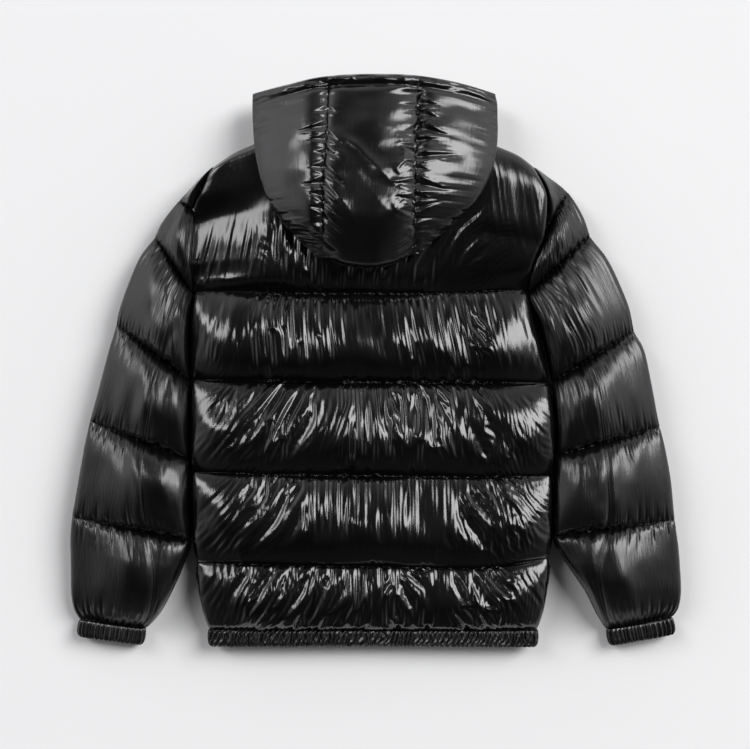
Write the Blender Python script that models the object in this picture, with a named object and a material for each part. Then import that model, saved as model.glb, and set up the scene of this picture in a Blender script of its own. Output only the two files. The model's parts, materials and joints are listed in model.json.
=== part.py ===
"""Hooded puffer jacket, laid out flat on its front with its back up.

The jacket is made of padded panels. Each panel is a closed wall: its outer face is a row of
quilted pillows, pinched thin at every quilting seam, and its inner face is the lining side. Laid
flat, the inner faces of the back and of the fronts lie on each other at the height MID.

Frame: +X to the right seen from above, +Y towards the hood, +Z up, the floor at z = 0.
All sizes below are in millimetres and are scaled to metres where a mesh is made.
"""
import math

import bmesh
import bpy
from mathutils import Matrix

MM = 0.001
COLLECTION = "puffer_jacket"
CUTTERS = "puffer_jacket_cutters"

# ---------------------------------------------------------------- driving sizes, mm
GAP = 0.3              # between two pieces at a seam
MID = 40.0             # height of the lining faces of front and back over the floor
SEAM_WALL = 9.0        # padded wall left at a quilting seam of the back
FRONT_WALL = 12.0      # the same on the fronts
FRONT_LOFT = 60.0      # loft of a front pillow before the floor flattens it
PILLOW_POWER = 0.55    # lower is squarer
BODY_ROUND = 5.0       # superellipse power of the body's section
SLEEVE_ROUND = 2.6     # superellipse power of the lower face of a sleeve's section
SLEEVE_CROWN = 0.62    # share of the sleeve's width, from its outer fold, where it stands highest
EDGE_REST = 0.03       # share of the loft left at a free folded edge
ARMHOLE_REST = 0.45    # share of the loft left at the armhole seam
CENTRE_EDGE = 5.8      # from the centre line to the edge of each front
TAPE_REACH = 13.0      # from the centre line to the edge of a zip tape
HOOD_TOP = (-86.0, 2.0)    # the hood's crown is level between these, its flanks slope from them to its edges
HOOD_SLOPE = 1.2       # superellipse power of those flanks, 1 is straight
HOOD_LEAN = 7.0        # how much lower the hood's right edge lies than its left
HEM_DEPTH = 24.0
CUFF_WALL = 7.0

# The body's quilting seams, from the shoulders to the hem.
# columns: seam height y at its foot, loft of the row above the seam
BODY_ROWS = (
    (98.0, 46.0),
    (-28.0, 46.0),
    (-157.0, 46.0),
    (-282.0, 44.0),
    (-373.0, 36.0),
)
# The body's free edges below the armholes. columns: y, left x, right x
BODY_EDGE = (
    (98.0, -253.0, 214.0),
    (58.0, -256.0, 223.0),
    (-12.0, -256.0, 241.0),
    (-87.0, -256.0, 251.0),
    (-154.0, -256.0, 249.0),
    (-250.0, -252.0, 246.0),
    (-296.0, -249.0, 244.0),
    (-340.0, -242.0, 238.0),
    (-373.0, -234.0, 230.0),
)
# The two armhole seams, from the shoulder tip to the underarm. columns: left x, left y, right x, right y
ARMHOLE = (
    (-223.0, 273.0, 220.0, 273.0),
    (-238.0, 249.0, 239.0, 225.0),
    (-251.0, 211.0, 236.0, 177.0),
    (-252.0, 172.0, 228.0, 155.0),
    (-252.0, 133.0, 218.0, 127.0),
    (-253.0, 98.0, 214.0, 98.0),
)
# Shoulder and back neck line. columns: x, y
SHOULDER = (
    (-223.0, 273.0),
    (-193.0, 292.0),
    (-168.0, 303.0),
    (-106.0, 329.0),
    (-64.0, 321.0),
    (0.0, 317.0),
    (64.0, 321.0),
    (106.0, 329.0),
    (169.0, 301.0),
    (199.0, 288.0),
    (220.0, 273.0),
)
# Front neck line, half of it. columns: distance from the centre, y
FRONT_NECK = (
    (0.0, 212.0),
    (35.0, 220.0),
    (70.0, 242.0),
    (96.0, 282.0),
    (106.0, 329.0),
)
# Height of the lining faces, lower towards the thin hem. columns: y, z
MID_LINE = (
    (-157.0, 40.0),
    (-282.0, 38.0),
    (-373.0, 27.0),
)
# Where the lines of a row of quilting lie, as shares of the row
ROW_SHARES = (0.12, 0.35, 0.65, 0.88, 1.0)
# Columns of the back panel, as shares from its left to its right edge
BACK_COLUMNS = (0.0, 0.006, 0.026, 0.062, 0.115, 0.19, 0.265, 0.35, 0.43,
                0.5, 0.57, 0.65, 0.735, 0.81, 0.885, 0.938, 0.974, 0.994, 1.0)
# Columns of a front near its zip edge. columns: distance from the edge, share of the loft
FRONT_CENTRE = (
    (100.2, 1.0),
    (90.2, 1.0),
    (64.2, 1.0),
    (34.0, 1.0),
    (22.0, 0.9),
    (12.0, 0.6),
    (5.0, 0.35),
    (0.0, 0.2),
)
# Columns of a front near its side edge, as shares of its width
FRONT_SIDE = (0.0, 0.009, 0.042, 0.112, 0.224, 0.403)

# Left sleeve, a row for each section from the shoulder tip to the cuff. columns: outer fold x, y,
# inner edge x, y, loft, wall height share (0 at a seam, 1 at the crown), elbow seam share of width
SLEEVE_LEFT = (
    (-228.0, 272.5, -223.5, 273.0, 26.0, 0.00, 1.00),
    (-248.0, 253.0, -238.5, 249.0, 32.0, 0.90, 1.00),
    (-273.0, 226.0, -251.5, 211.0, 36.0, 0.00, 0.92),
    (-288.0, 208.0, -252.5, 172.0, 42.0, 0.90, 0.87),
    (-301.0, 190.0, -252.5, 133.0, 44.0, 0.92, 0.83),
    (-307.0, 175.0, -253.5, 97.0, 44.0, 0.00, 0.80),
    (-326.0, 151.0, -258.5, 63.0, 46.0, 0.86, 0.75),
    (-344.0, 112.0, -258.5, 32.0, 48.0, 1.00, 0.71),
    (-357.0, 74.0, -258.5, -3.0, 48.0, 0.78, 0.66),
    (-361.0, 53.0, -258.5, -26.0, 46.0, 0.00, 0.63),
    (-372.0, 18.0, -258.5, -56.0, 46.0, 0.88, 0.60),
    (-386.0, -35.0, -258.5, -98.0, 46.0, 0.94, 0.58),
    (-398.0, -82.0, -258.5, -135.0, 44.0, 0.00, 0.56),
    (-406.0, -115.0, -258.5, -164.0, 44.0, 0.88, 0.57),
    (-416.0, -171.0, -258.5, -206.0, 42.0, 0.94, 0.60),
    (-423.0, -216.0, -256.5, -247.0, 40.0, 0.00, 0.65),
    (-427.0, -255.0, -266.0, -279.0, 40.0, 0.90, 0.74),
    (-427.0, -311.0, -288.0, -328.0, 36.0, 0.98, 0.86),
    (-424.0, -342.0, -305.0, -357.0, 28.0, 0.80, 0.90),
    (-416.0, -360.0, -322.0, -373.0, 22.0, 0.10, 0.92),
)
# Right sleeve, the same columns
SLEEVE_RIGHT = (
    (225.0, 272.5, 220.5, 273.0, 26.0, 0.00, 1.00),
    (248.0, 256.0, 239.5, 225.0, 32.0, 0.90, 1.00),
    (270.0, 238.0, 236.5, 177.0, 36.0, 0.00, 0.92),
    (283.0, 219.0, 228.5, 155.0, 42.0, 0.90, 0.87),
    (294.0, 198.0, 218.5, 127.0, 44.0, 0.92, 0.83),
    (301.0, 177.0, 214.5, 97.0, 44.0, 0.00, 0.80),
    (323.0, 149.0, 227.5, 63.0, 46.0, 0.86, 0.75),
    (342.0, 112.0, 236.0, 32.0, 48.0, 1.00, 0.71),
    (357.0, 74.0, 244.0, 1.0, 48.0, 0.78, 0.66),
    (363.0, 44.0, 248.5, -26.0, 46.0, 0.00, 0.63),
    (377.0, 18.0, 252.0, -52.0, 46.0, 0.88, 0.60),
    (389.0, -35.0, 254.0, -94.0, 46.0, 0.94, 0.57),
    (399.0, -90.0, 253.5, -129.0, 44.0, 0.00, 0.55),
    (406.0, -115.0, 252.5, -164.0, 44.0, 0.88, 0.55),
    (416.0, -171.0, 251.0, -206.0, 42.0, 0.94, 0.55),
    (420.0, -220.0, 249.5, -241.0, 40.0, 0.00, 0.57),
    (427.0, -262.0, 266.0, -276.0, 40.0, 0.90, 0.70),
    (431.0, -318.0, 297.0, -322.0, 36.0, 0.98, 0.86),
    (428.0, -343.0, 314.0, -356.0, 28.0, 0.80, 0.90),
    (420.0, -357.0, 326.0, -374.0, 22.0, 0.10, 0.92),
)
SLEEVE_FRONT_SEAM = 0.75   # the front sleeve seam, on the floor side, as a share of the width
FIRST_UNDER_SECTION = 2    # the under sleeve starts where the elbow seam leaves the armhole

# The hood. columns: y, left edge x, left seam x, right seam x, right edge x
HOOD_PLAN = (
    (375.0, -169.0, -64.0, 61.0, 168.0),
    (357.0, -169.5, -64.0, 61.0, 171.0),
    (326.0, -168.0, -65.0, 59.0, 171.0),
    (295.0, -165.0, -66.0, 57.0, 169.0),
    (256.0, -157.0, -68.0, 56.0, 158.0),
    (221.0, -144.0, -70.0, 55.0, 139.0),
    (193.0, -127.0, -70.0, 54.0, 111.0),
    (168.0, -105.0, -70.0, 54.0, 83.0),
    (150.0, -84.0, -70.0, 53.0, 62.0),
)
# The edge of the hood's mouth and its lowest fold. columns: x, mouth y, fold y
HOOD_ENDS = (
    (-169.0, 375.0, 150.0),
    (-120.0, 385.0, 150.0),
    (-70.0, 395.0, 142.0),
    (-39.0, 398.0, 131.0),
    (0.0, 399.0, 128.0),
    (28.0, 399.0, 135.0),
    (54.0, 398.0, 148.0),
    (111.0, 390.0, 150.0),
    (168.0, 376.0, 150.0),
)
# Height of the hood. columns: y, crown z, equator z
HOOD_CROWN = (
    (399.0, 98.0, 60.0),
    (384.0, 103.0, 61.0),
    (357.0, 113.0, 63.0),
    (326.0, 124.0, 72.0),
    (295.0, 134.0, 83.0),
    (256.0, 143.0, 97.0),
    (205.0, 148.0, 106.0),
    (128.0, 148.0, 109.0),
)
# Edge of the collar. columns: x, top y
COLLAR_TOP = (
    (-160.0, 364.0),
    (-120.0, 376.0),
    (-63.0, 386.0),
    (0.0, 389.0),
    (63.0, 386.0),
    (120.0, 378.0),
    (160.0, 366.0),
)
COLLAR_HALF_WIDTH = 158.0
COLLAR_LINES = (0.0, 0.05, 0.22, 0.43, 0.5, 0.57, 0.78, 0.95, 1.0)

# The zip's slider and its pull tab
SLIDER_Y = 366.0
SLIDER_SIZE = (9.4, 14.0, 3.1)      # plate: width, length, thickness
BRIDGE_SIZE = (2.6, 10.0, 5.4)      # bridge under the plate
BRIDGE_HOLE = (6.0, 2.8)            # along y, along z
PULL_AXIS_Z = 30.0
PULL_BAR_R = 0.8
PULL_WIDTH = 8.0
PULL_THICK = 1.6
PULL_WINDOW = 6.4                   # from the axis to the solid end of the tab
PULL_LENGTH = 22.0


# ---------------------------------------------------------------- helpers
def interp(table, key, column=1):
    """Straight-line value of a column of a table whose first column runs up or down."""
    rows = table if table[0][0] < table[-1][0] else table[::-1]
    if key <= rows[0][0]:
        return rows[0][column]
    for a, b in zip(rows, rows[1:]):
        if key <= b[0]:
            f = (key - a[0]) / (b[0] - a[0])
            return a[column] + f * (b[column] - a[column])
    return rows[-1][column]


def lerp(a, b, f):
    return a + (b - a) * f


def pillow(t):
    """Height of a quilted pillow between two seams: 0 at the seams, 1 at the crown."""
    return max(0.0, 4.0 * t * (1.0 - t)) ** PILLOW_POWER


def fold(w, power):
    """Height of a folded section between its two edges: 0 at w = 0 and 1, 1 at the middle."""
    return max(0.0, 1.0 - abs(2.0 * w - 1.0) ** power) ** (1.0 / power)


def sleeve_fold(w):
    """Share of a sleeve's height across its width: a long slope from the outer fold and a short one to the inner."""
    if w < SLEEVE_CROWN:
        return max(0.0, 1.0 - min(1.0, (SLEEVE_CROWN - w) / SLEEVE_CROWN) ** 1.7) ** (1.0 / 1.7)
    return max(0.0, 1.0 - min(1.0, (w - SLEEVE_CROWN) / (1.0 - SLEEVE_CROWN)) ** 2.4) ** (1.0 / 2.4)


def fabric(name, colour, roughness, coat=0.0, metallic=0.0):
    material = bpy.data.materials.new(name)
    material.use_nodes = True
    shader = material.node_tree.nodes["Principled BSDF"]
    shader.inputs["Base Color"].default_value = (*colour, 1.0)
    shader.inputs["Roughness"].default_value = roughness
    shader.inputs["Metallic"].default_value = metallic
    shader.inputs["Coat Weight"].default_value = coat
    return material


def collection(name):
    group = bpy.data.collections.new(name)
    bpy.context.scene.collection.children.link(group)
    return group


def add_object(name, bm, material, group):
    bmesh.ops.recalc_face_normals(bm, faces=bm.faces)
    bmesh.ops.triangulate(bm, faces=bm.faces, quad_method="FIXED")
    mesh = bpy.data.meshes.new(name)
    bm.to_mesh(mesh)
    bm.free()
    if material:
        mesh.materials.append(material)
        mesh.shade_smooth()
        mesh.set_sharp_from_angle(angle=math.radians(50))
    obj = bpy.data.objects.new(name, mesh)
    group.objects.link(obj)
    return obj


def wall(name, outer, inner, material, group, ring=False):
    """A closed wall between an outer and an inner face, each a list of lines of points.

    ring joins the last point of each line to its first, as on a cuff.
    """
    bm = bmesh.new()
    rows, cols = len(outer), len(outer[0])
    grids = []
    for face in (outer, inner):
        grids.append([[bm.verts.new([c * MM for c in p]) for p in line] for line in face])
    last = cols if ring else cols - 1
    for side, grid in enumerate(grids):
        for i in range(rows - 1):
            for j in range(last):
                k = (j + 1) % cols
                quad = [grid[i][j], grid[i][k], grid[i + 1][k], grid[i + 1][j]]
                bm.faces.new(quad if side == 0 else quad[::-1])
    top, under = grids
    for i in (0, rows - 1):
        for j in range(last):
            k = (j + 1) % cols
            quad = [top[i][j], under[i][j], under[i][k], top[i][k]]
            bm.faces.new(quad if i == 0 else quad[::-1])
    if not ring:
        for j in (0, cols - 1):
            for i in range(rows - 1):
                quad = [top[i][j], top[i + 1][j], under[i + 1][j], under[i][j]]
                bm.faces.new(quad if j == 0 else quad[::-1])
    return add_object(name, bm, material, group)


def sweep(name, sections, material, group):
    """A closed solid through sections with the same number of points, capped at both ends."""
    bm = bmesh.new()
    rings = [[bm.verts.new([c * MM for c in p]) for p in section] for section in sections]
    count = len(rings[0])
    for a, b in zip(rings, rings[1:]):
        for j in range(count):
            k = (j + 1) % count
            bm.faces.new([a[j], a[k], b[k], b[j]])
    bm.faces.new(rings[0])
    bm.faces.new(rings[-1][::-1])
    return add_object(name, bm, material, group)


def block(name, centre, size, bevel, material, group):
    bm = bmesh.new()
    bmesh.ops.create_cube(bm, size=1.0)
    bmesh.ops.scale(bm, vec=[s * MM for s in size], verts=bm.verts)
    bmesh.ops.translate(bm, vec=[c * MM for c in centre], verts=bm.verts)
    if bevel:
        bmesh.ops.bevel(bm, geom=bm.edges[:], offset=bevel * MM, segments=2, profile=0.5, affect="EDGES")
    return add_object(name, bm, material, group)


def cut(obj, cutter, operation="DIFFERENCE"):
    modifier = obj.modifiers.new(cutter.name, "BOOLEAN")
    modifier.operation = operation
    modifier.solver = "EXACT"
    modifier.object = cutter


def as_cutter(obj):
    obj.hide_render = True
    obj.display_type = "WIRE"
    return obj


# ---------------------------------------------------------------- body
def body_lines():
    """The body's lines from the shoulder line to the hem: edges, share of the row, loft, edge rest."""
    lines = []
    foot, loft = BODY_ROWS[0]
    last = len(ARMHOLE) - 1
    top_left, top_right = ARMHOLE[0][1], ARMHOLE[0][3]
    for j, (xl, yl, xr, yr) in enumerate(ARMHOLE):
        lines.append({
            "left": xl, "right": xr, "row": 0, "t": j / last, "loft": loft,
            "tl": (top_left - yl) / (top_left - foot), "tr": (top_right - yr) / (top_right - foot),
            "rest": ARMHOLE_REST if j < last else EDGE_REST, "y": foot,
        })
    top = foot
    for row, (foot, loft) in enumerate(BODY_ROWS[1:], 1):
        for t in ROW_SHARES:
            y = lerp(top, foot, t)
            notch = 3.0 * (1.0 - pillow(t))
            lines.append({
                "left": interp(BODY_EDGE, y, 1) + notch, "right": interp(BODY_EDGE, y, 2) - notch,
                "row": row, "t": t, "loft": loft, "tl": None, "tr": None, "rest": EDGE_REST, "y": y,
            })
        top = foot
    return lines


def line_y(line, u, top_y):
    """y of a body line at the share u of its width; row 0 blends from the shoulder line."""
    if line["tl"] is None:
        return line["y"]
    return lerp(top_y, line["y"], lerp(line["tl"], line["tr"], u))


def back_height(x, y):
    """Outer height of the back's yoke row at any point under the hood."""
    top = interp(SHOULDER, x)
    foot, loft = BODY_ROWS[0]
    t = min(1.0, max(0.0, (top - y) / (top - foot)))
    return MID + GAP / 2 + SEAM_WALL + (loft - SEAM_WALL) * pillow(t)


def build_back(material, group):
    outer, inner = [], []
    for line in body_lines():
        out_row, in_row = [], []
        for u in BACK_COLUMNS:
            x = lerp(line["left"], line["right"], u)
            top_y = interp(SHOULDER, lerp(ARMHOLE[0][0], ARMHOLE[0][2], u))
            y = line_y(line, u, top_y)
            share = line["rest"] + (1.0 - line["rest"]) * fold(u, BODY_ROUND)
            height = share * (SEAM_WALL + (line["loft"] - SEAM_WALL) * pillow(line["t"]))
            base = interp(MID_LINE, y) + GAP / 2
            out_row.append((x, y, base + max(1.0, height)))
            in_row.append((x, y, base))
        outer.append(out_row)
        inner.append(in_row)
    wall("back_panel", outer, inner, material, group)


def front_neck(x):
    """Front shoulder and neck line."""
    if abs(x) < FRONT_NECK[-1][0]:
        return interp(FRONT_NECK, abs(x))
    return interp(SHOULDER, x)


def build_front(name, side, material, group):
    """One front: side -1 is the one at -X."""
    outer, inner = [], []
    centre = side * CENTRE_EDGE
    for line in body_lines():
        edge = line["left"] if side < 0 else line["right"]
        top_edge = ARMHOLE[0][0] if side < 0 else ARMHOLE[0][2]
        width = centre - edge
        columns = [(edge + f * width, line["rest"] + (1.0 - line["rest"]) * fold(f / 2, BODY_ROUND), f)
                   for f in FRONT_SIDE]
        for distance, share in FRONT_CENTRE:
            x = centre + side * distance
            columns.append((x, share, (x - edge) / width))
        out_row, in_row = [], []
        for x, share, f in columns:
            top_x = lerp(top_edge, centre, f)
            u = f / 2 if side < 0 else 1.0 - f / 2
            y = line_y(line, u, front_neck(top_x))
            base = interp(MID_LINE, y) - GAP / 2
            height = share * (FRONT_WALL + (FRONT_LOFT - FRONT_WALL) * pillow(line["t"]))
            lowered = 1.7 if abs(x - centre) < 13.0 else 0.0
            out_row.append((x, y, max(0.0, base - max(1.0, height))))
            in_row.append((x, y, base - lowered))
        outer.append(out_row)
        inner.append(in_row)
    wall(name, outer, inner, material, group)


# ---------------------------------------------------------------- collar
def build_collar(name, side, material, group):
    outer, inner = [], []
    centre = side * CENTRE_EDGE
    edge = side * COLLAR_HALF_WIDTH
    columns = []
    for f in (0.0, 0.02, 0.07, 0.16, 0.27):
        columns.append((lerp(edge, centre, f), EDGE_REST + (1.0 - EDGE_REST) * fold(f / 2, 4.0)))
    for distance, share in FRONT_CENTRE:
        columns.append((centre + side * distance, share))
    slopes = [abs((front_neck(b[0]) - front_neck(a[0])) / (b[0] - a[0])) for a, b in zip(columns, columns[1:])]
    for v in COLLAR_LINES:
        out_row, in_row = [], []
        row_t = (v * 2.0) % 1.0 if v < 1.0 else 1.0
        for k, (x, share) in enumerate(columns):
            steep = max(slopes[max(0, k - 1):k + 1])
            foot = front_neck(x) + (0.5 * math.hypot(1.0, steep) if k > 4 else 3.0)
            y = lerp(foot, interp(COLLAR_TOP, x), v)
            base = MID - GAP / 2
            height = share * (FRONT_WALL + (FRONT_LOFT - FRONT_WALL) * pillow(row_t))
            lowered = 1.7 if abs(x - centre) < 13.0 else 0.0
            out_row.append((x, y, max(0.0, base - max(1.0, height))))
            in_row.append((x, y, base - lowered))
        outer.append(out_row)
        inner.append(in_row)
    wall(name, outer, inner, material, group)


# ---------------------------------------------------------------- sleeves
def sleeve_section(row, index, top_piece):
    """Outer and inner points of one section of a sleeve piece, round its fold."""
    ox, oy, ix, iy, loft, crown, elbow = row
    width = math.hypot(ix - ox, iy - oy)
    armhole = ARMHOLE_REST if index < 5 else EDGE_REST
    mid = 40.0 if index < 16 else lerp(40.0, 20.0, (index - 15) / 4.0)
    seam_gap = 0.5 * GAP / width
    inset = min(12.0 / width, 0.3)
    height = 10.0 + (loft - 10.0) * crown
    drop = 12.0 + 44.0 * crown

    def shape(w, up):
        rest = armhole if w > 0.5 else 0.0
        return rest + (1.0 - rest) * (sleeve_fold(w) if up else fold(w, SLEEVE_ROUND))

    def outer_point(w, up):
        z = mid + shape(w, up) * height if up else max(0.0, mid - shape(w, up) * drop)
        return (lerp(ox, ix, w), lerp(oy, iy, w), z)

    def inner_point(w, up, at_fold=False):
        v = inset + w * (1.0 - 2.0 * inset)
        z = mid if at_fold else (mid + 0.4 if up else mid - 0.4)
        return (lerp(ox, ix, v), lerp(oy, iy, v), z)

    outer, inner = [], []
    if top_piece:
        reach = elbow - seam_gap
        for f in (1.0, 0.8, 0.55, 0.32, 0.15, 0.05):
            outer.append(outer_point(reach * f, True))
            inner.append(inner_point(reach * f, True))
        outer.append(outer_point(0.0, True))
        inner.append(inner_point(0.0, True, True))
        reach = SLEEVE_FRONT_SEAM - seam_gap
        for f in (0.06, 0.2, 0.45, 0.75, 1.0):
            outer.append(outer_point(reach * f, False))
            inner.append(inner_point(reach * f, False))
    else:
        start = elbow + seam_gap
        for f in (0.0, 0.3, 0.6, 0.82, 0.95, 1.0):
            w = lerp(start, 1.0, f)
            outer.append(outer_point(w, True))
            inner.append(inner_point(w, True))
        start = SLEEVE_FRONT_SEAM + seam_gap
        for f in (1.0, 0.93, 0.75, 0.4, 0.0):
            w = lerp(start, 1.0, f)
            outer.append(outer_point(w, False))
            inner.append(inner_point(w, False))
    return outer, inner


def build_sleeve(name, table, top_piece, material, group):
    outer, inner = [], []
    for index, row in enumerate(table):
        if not top_piece and index < FIRST_UNDER_SECTION:
            continue
        out_row, in_row = sleeve_section(row, index, top_piece)
        outer.append(out_row)
        inner.append(in_row)
    wall(name, outer, inner, material, group)


def build_cuff(name, table, material, group):
    """A gathered cuff: a flattened ring that goes on in the sleeve's direction."""
    ox, oy, ix, iy = table[-1][:4]
    px, py, qx, qy = table[-2][:4]
    along = ((ox + ix - px - qx) / 2, (oy + iy - py - qy) / 2)
    # square to the cuff's own line
    nx, ny = -(iy - oy), ix - ox
    length = math.hypot(nx, ny)
    nx, ny = nx / length, ny / length
    if nx * along[0] + ny * along[1] < 0:
        nx, ny = -nx, -ny
    half = length / 2
    cx, cy = (ox + ix) / 2, (oy + iy) / 2
    ux, uy = (ix - ox) / length, (iy - oy) / length
    outer, inner = [], []
    # columns: distance along the sleeve, half width, half height
    for distance, a, b in ((0.6, half - 1.6, 13.0), (4.0, half + 0.6, 15.0), (19.5, half + 0.6, 15.0), (25.0, half - 3.0, 12.5)):
        out_row, in_row = [], []
        for k in range(20):
            angle = 2.0 * math.pi * k / 20
            c, s = math.cos(angle), math.sin(angle)
            w = math.copysign(abs(c) ** 0.7, c)
            h = math.copysign(abs(s) ** 0.7, s)
            x, y = cx + nx * distance, cy + ny * distance
            out_row.append((x + ux * w * a, y + uy * w * a, 18.0 + h * b))
            v = w * (a - CUFF_WALL)
            in_row.append((x + ux * v, y + uy * v, 18.0 + 0.5 * h))
        outer.append(out_row)
        inner.append(in_row)
    wall(name, outer, inner, material, group, ring=True)


def build_hem(material, group):
    """The gathered hem band, one strip from one front edge round the back to the other."""
    outer, inner = [], []
    top = BODY_ROWS[-1][0]
    # columns: distance below the body, narrower at each side by, half height
    for distance, narrow, b in ((0.6, 2.0, 10.0), (5.0, 0.0, 12.5), (19.0, 0.5, 12.5), (HEM_DEPTH + 1.0, 5.0, 9.5)):
        left, right = -234.0 + narrow, 230.0 - narrow
        y, z = top - distance, 27.0
        out_row, in_row = [], []
        path = []
        for f in (0.0, 0.04, 0.3, 0.65, 0.9, 0.97):       # the left front part, from the zip out
            path.append((lerp(-CENTRE_EDGE, left, f), -1.0))
        path.append((left, 0.0))
        for f in (0.015, 0.05, 0.15, 0.3, 0.5, 0.7, 0.85, 0.95, 0.985):
            path.append((lerp(left, right, f), 1.0))
        path.append((right, 0.0))
        for f in (0.97, 0.9, 0.65, 0.3, 0.04, 0.0):
            path.append((lerp(CENTRE_EDGE, right, f), -1.0))
        for x, sign in path:
            share = fold((x - left) / (right - left), 8.0)
            out_row.append((x, y, z + sign * max(0.35, share) * b))
            v = left + 9.0 + (x - left) / (right - left) * (right - left - 18.0)
            if sign < 0:
                v = x if abs(x) <= CENTRE_EDGE + 0.01 else v
            lift = -1.8 if sign < 0 and abs(x) < 16.0 else 0.4 * sign
            in_row.append((v, y, z + lift))
        outer.append(out_row)
        inner.append(in_row)
    wall("hem_band", outer, inner, material, group)


# ---------------------------------------------------------------- hood
def hood_edges(y):
    return [interp(HOOD_PLAN, y, c) for c in (1, 2, 3, 4)]


def hood_outline():
    """The hood's outline without its mouth, as straight pieces, for measuring how far in a point is."""
    left = [(interp(HOOD_PLAN, y, 1), y) for y in (430.0, 375.0, 357.0, 326.0, 295.0, 256.0, 221.0, 193.0, 168.0, 150.0)]
    low = [(x, interp(HOOD_ENDS, x, 2)) for x in (-70.0, -39.0, 0.0, 28.0, 54.0)]
    right = [(interp(HOOD_PLAN, y, 4), y) for y in (150.0, 168.0, 193.0, 221.0, 256.0, 295.0, 326.0, 357.0, 375.0, 430.0)]
    return left + low + right


def distance_in(x, y, outline):
    best = 1e9
    for (ax, ay), (bx, by) in zip(outline, outline[1:]):
        dx, dy = bx - ax, by - ay
        f = max(0.0, min(1.0, ((x - ax) * dx + (y - ay) * dy) / (dx * dx + dy * dy)))
        best = min(best, math.hypot(x - ax - f * dx, y - ay - f * dy))
    return best


def rounding(distance, reach, power=2.3):
    f = 1.0 - min(distance, reach) / reach
    return max(0.0, 1.0 - f ** power) ** (1.0 / power)



def hood_full(x, y):
    """Share of its full height that the hood reaches at x, y."""
    le, re = interp(HOOD_PLAN, y, 1), interp(HOOD_PLAN, y, 4)
    left = min(1.0, max(0.0, (x - le) / max(HOOD_TOP[0] - le, 38.0)))
    right = min(1.0, max(0.0, (re - x) / (re - HOOD_TOP[1])))
    out = min(1.0, (1.0 - left) ** 3 + (1.0 - right) ** 3) ** (1.0 / 3.0)
    up = min(1.0, max(0.0, (y - interp(HOOD_ENDS, x, 2)) / 75.0))
    return rounding(1.0 - out, 1.0, HOOD_SLOPE) * rounding(up, 1.0, 1.7)


def hood_heights(x, y, outline, seam_distance):
    """Lower and upper height of the hood's outer face."""
    crown, equator = interp(HOOD_CROWN, y, 1), interp(HOOD_CROWN, y, 2)
    equator -= HOOD_LEAN * min(1.0, max(0.0, x / 120.0))
    d = distance_in(x, y, outline)
    full = hood_full(x, y)
    top = equator + max(0.6, (crown - equator) * full)
    top -= 7.0 * max(0.0, 1.0 - seam_distance / 14.0) * full
    shoulder = interp(SHOULDER, x)
    if y > shoulder + 2.0:
        floor = MID + 0.9
    else:
        floor = back_height(x, y) + 4.0
    low = equator - max(0.6, (equator - floor) * rounding(d, 22.0))
    return low, top


def hood_line_y(x, v):
    """y of the hood's line v (0 at the mouth, 1 at the lowest fold); two lines follow the neck."""
    mouth = interp(HOOD_ENDS, x, 1)
    low = interp(HOOD_ENDS, x, 2)
    neck = interp(SHOULDER, x)
    if v <= 0.3:
        return lerp(mouth, neck + 3.0, v / 0.3)
    if v <= 0.31:
        return neck + 1.2
    return lerp(neck - 6.0, low, (v - 0.32) / 0.68)


HOOD_LINES = (0.0, 0.05, 0.12, 0.21, 0.3, 0.31, 0.32, 0.42, 0.54, 0.67, 0.79, 0.89, 0.96, 1.0)


def build_hood_piece(name, part, outline, material, group):
    """part is left, centre or right."""
    low_face, top_face = [], []
    shares = {
        "centre": (0.0, 0.12, 0.3, 0.5, 0.7, 0.88, 1.0),
        "left": (0.0, 0.03, 0.1, 0.22, 0.4, 0.6, 0.85, 1.0),
        "right": (0.0, 0.15, 0.4, 0.6, 0.78, 0.9, 0.97, 1.0),
    }[part]
    for v in HOOD_LINES:
        low_row, top_row = [], []
        for u in shares:
            x, y = 0.0, lerp(399.0, 150.0, v)
            for _ in range(8):                      # the column's x depends on y and the line's y on x
                le, ls, rs, re = hood_edges(y)
                a, b = {"left": (le, ls - GAP / 2), "centre": (ls + GAP / 2, rs - GAP / 2), "right": (rs + GAP / 2, re)}[part]
                x = lerp(a, b, u)
                y = hood_line_y(x, v)
            seam = min(abs(x - ls), abs(x - rs))
            low, top = hood_heights(x, y, outline, seam)
            if v == 0.31:
                low = back_height(x, y - 4.0) + 8.0
            low_row.append((x, y, low))
            top_row.append((x, y, top))
        low_face.append(low_row)
        top_face.append(top_row)
    return wall(name, top_face, low_face, material, group)


def build_hood_cavity(group):
    """The space inside the hood: a mouth by the neck and a closed fold further down."""
    sections = []
    # columns: y, middle x, half width, low z, high z
    for y, x, half, low, high in (
        (165.0, -9.0, 46.0, 110.0, 111.0),
        (200.0, -6.0, 92.0, 107.0, 108.0),
        (256.0, 0.0, 124.0, 98.0, 99.0),
        (295.0, 1.0, 130.0, 86.0, 89.0),
        (312.0, 1.0, 134.0, 76.0, 86.0),
        (322.0, 1.0, 136.0, 68.0, 85.0),
        (334.0, 1.0, 138.0, 34.0, 83.0),
        (357.0, 1.0, 138.0, 34.0, 78.0),
        (399.0, 0.0, 138.0, 34.0, 70.0),
        (425.0, 0.0, 138.0, 34.0, 70.0),
    ):
        ring = []
        for k in range(24):
            angle = 2.0 * math.pi * k / 24
            c, s = math.cos(angle), math.sin(angle)
            w = math.copysign(abs(c) ** 0.5, c)
            h = math.copysign(abs(s) ** 0.5, s)
            ring.append((x + half * w, y, (low + high) / 2 + (high - low) / 2 * h))
        sections.append(ring)
    return as_cutter(sweep("hood_cavity", sections, None, group))


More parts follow.
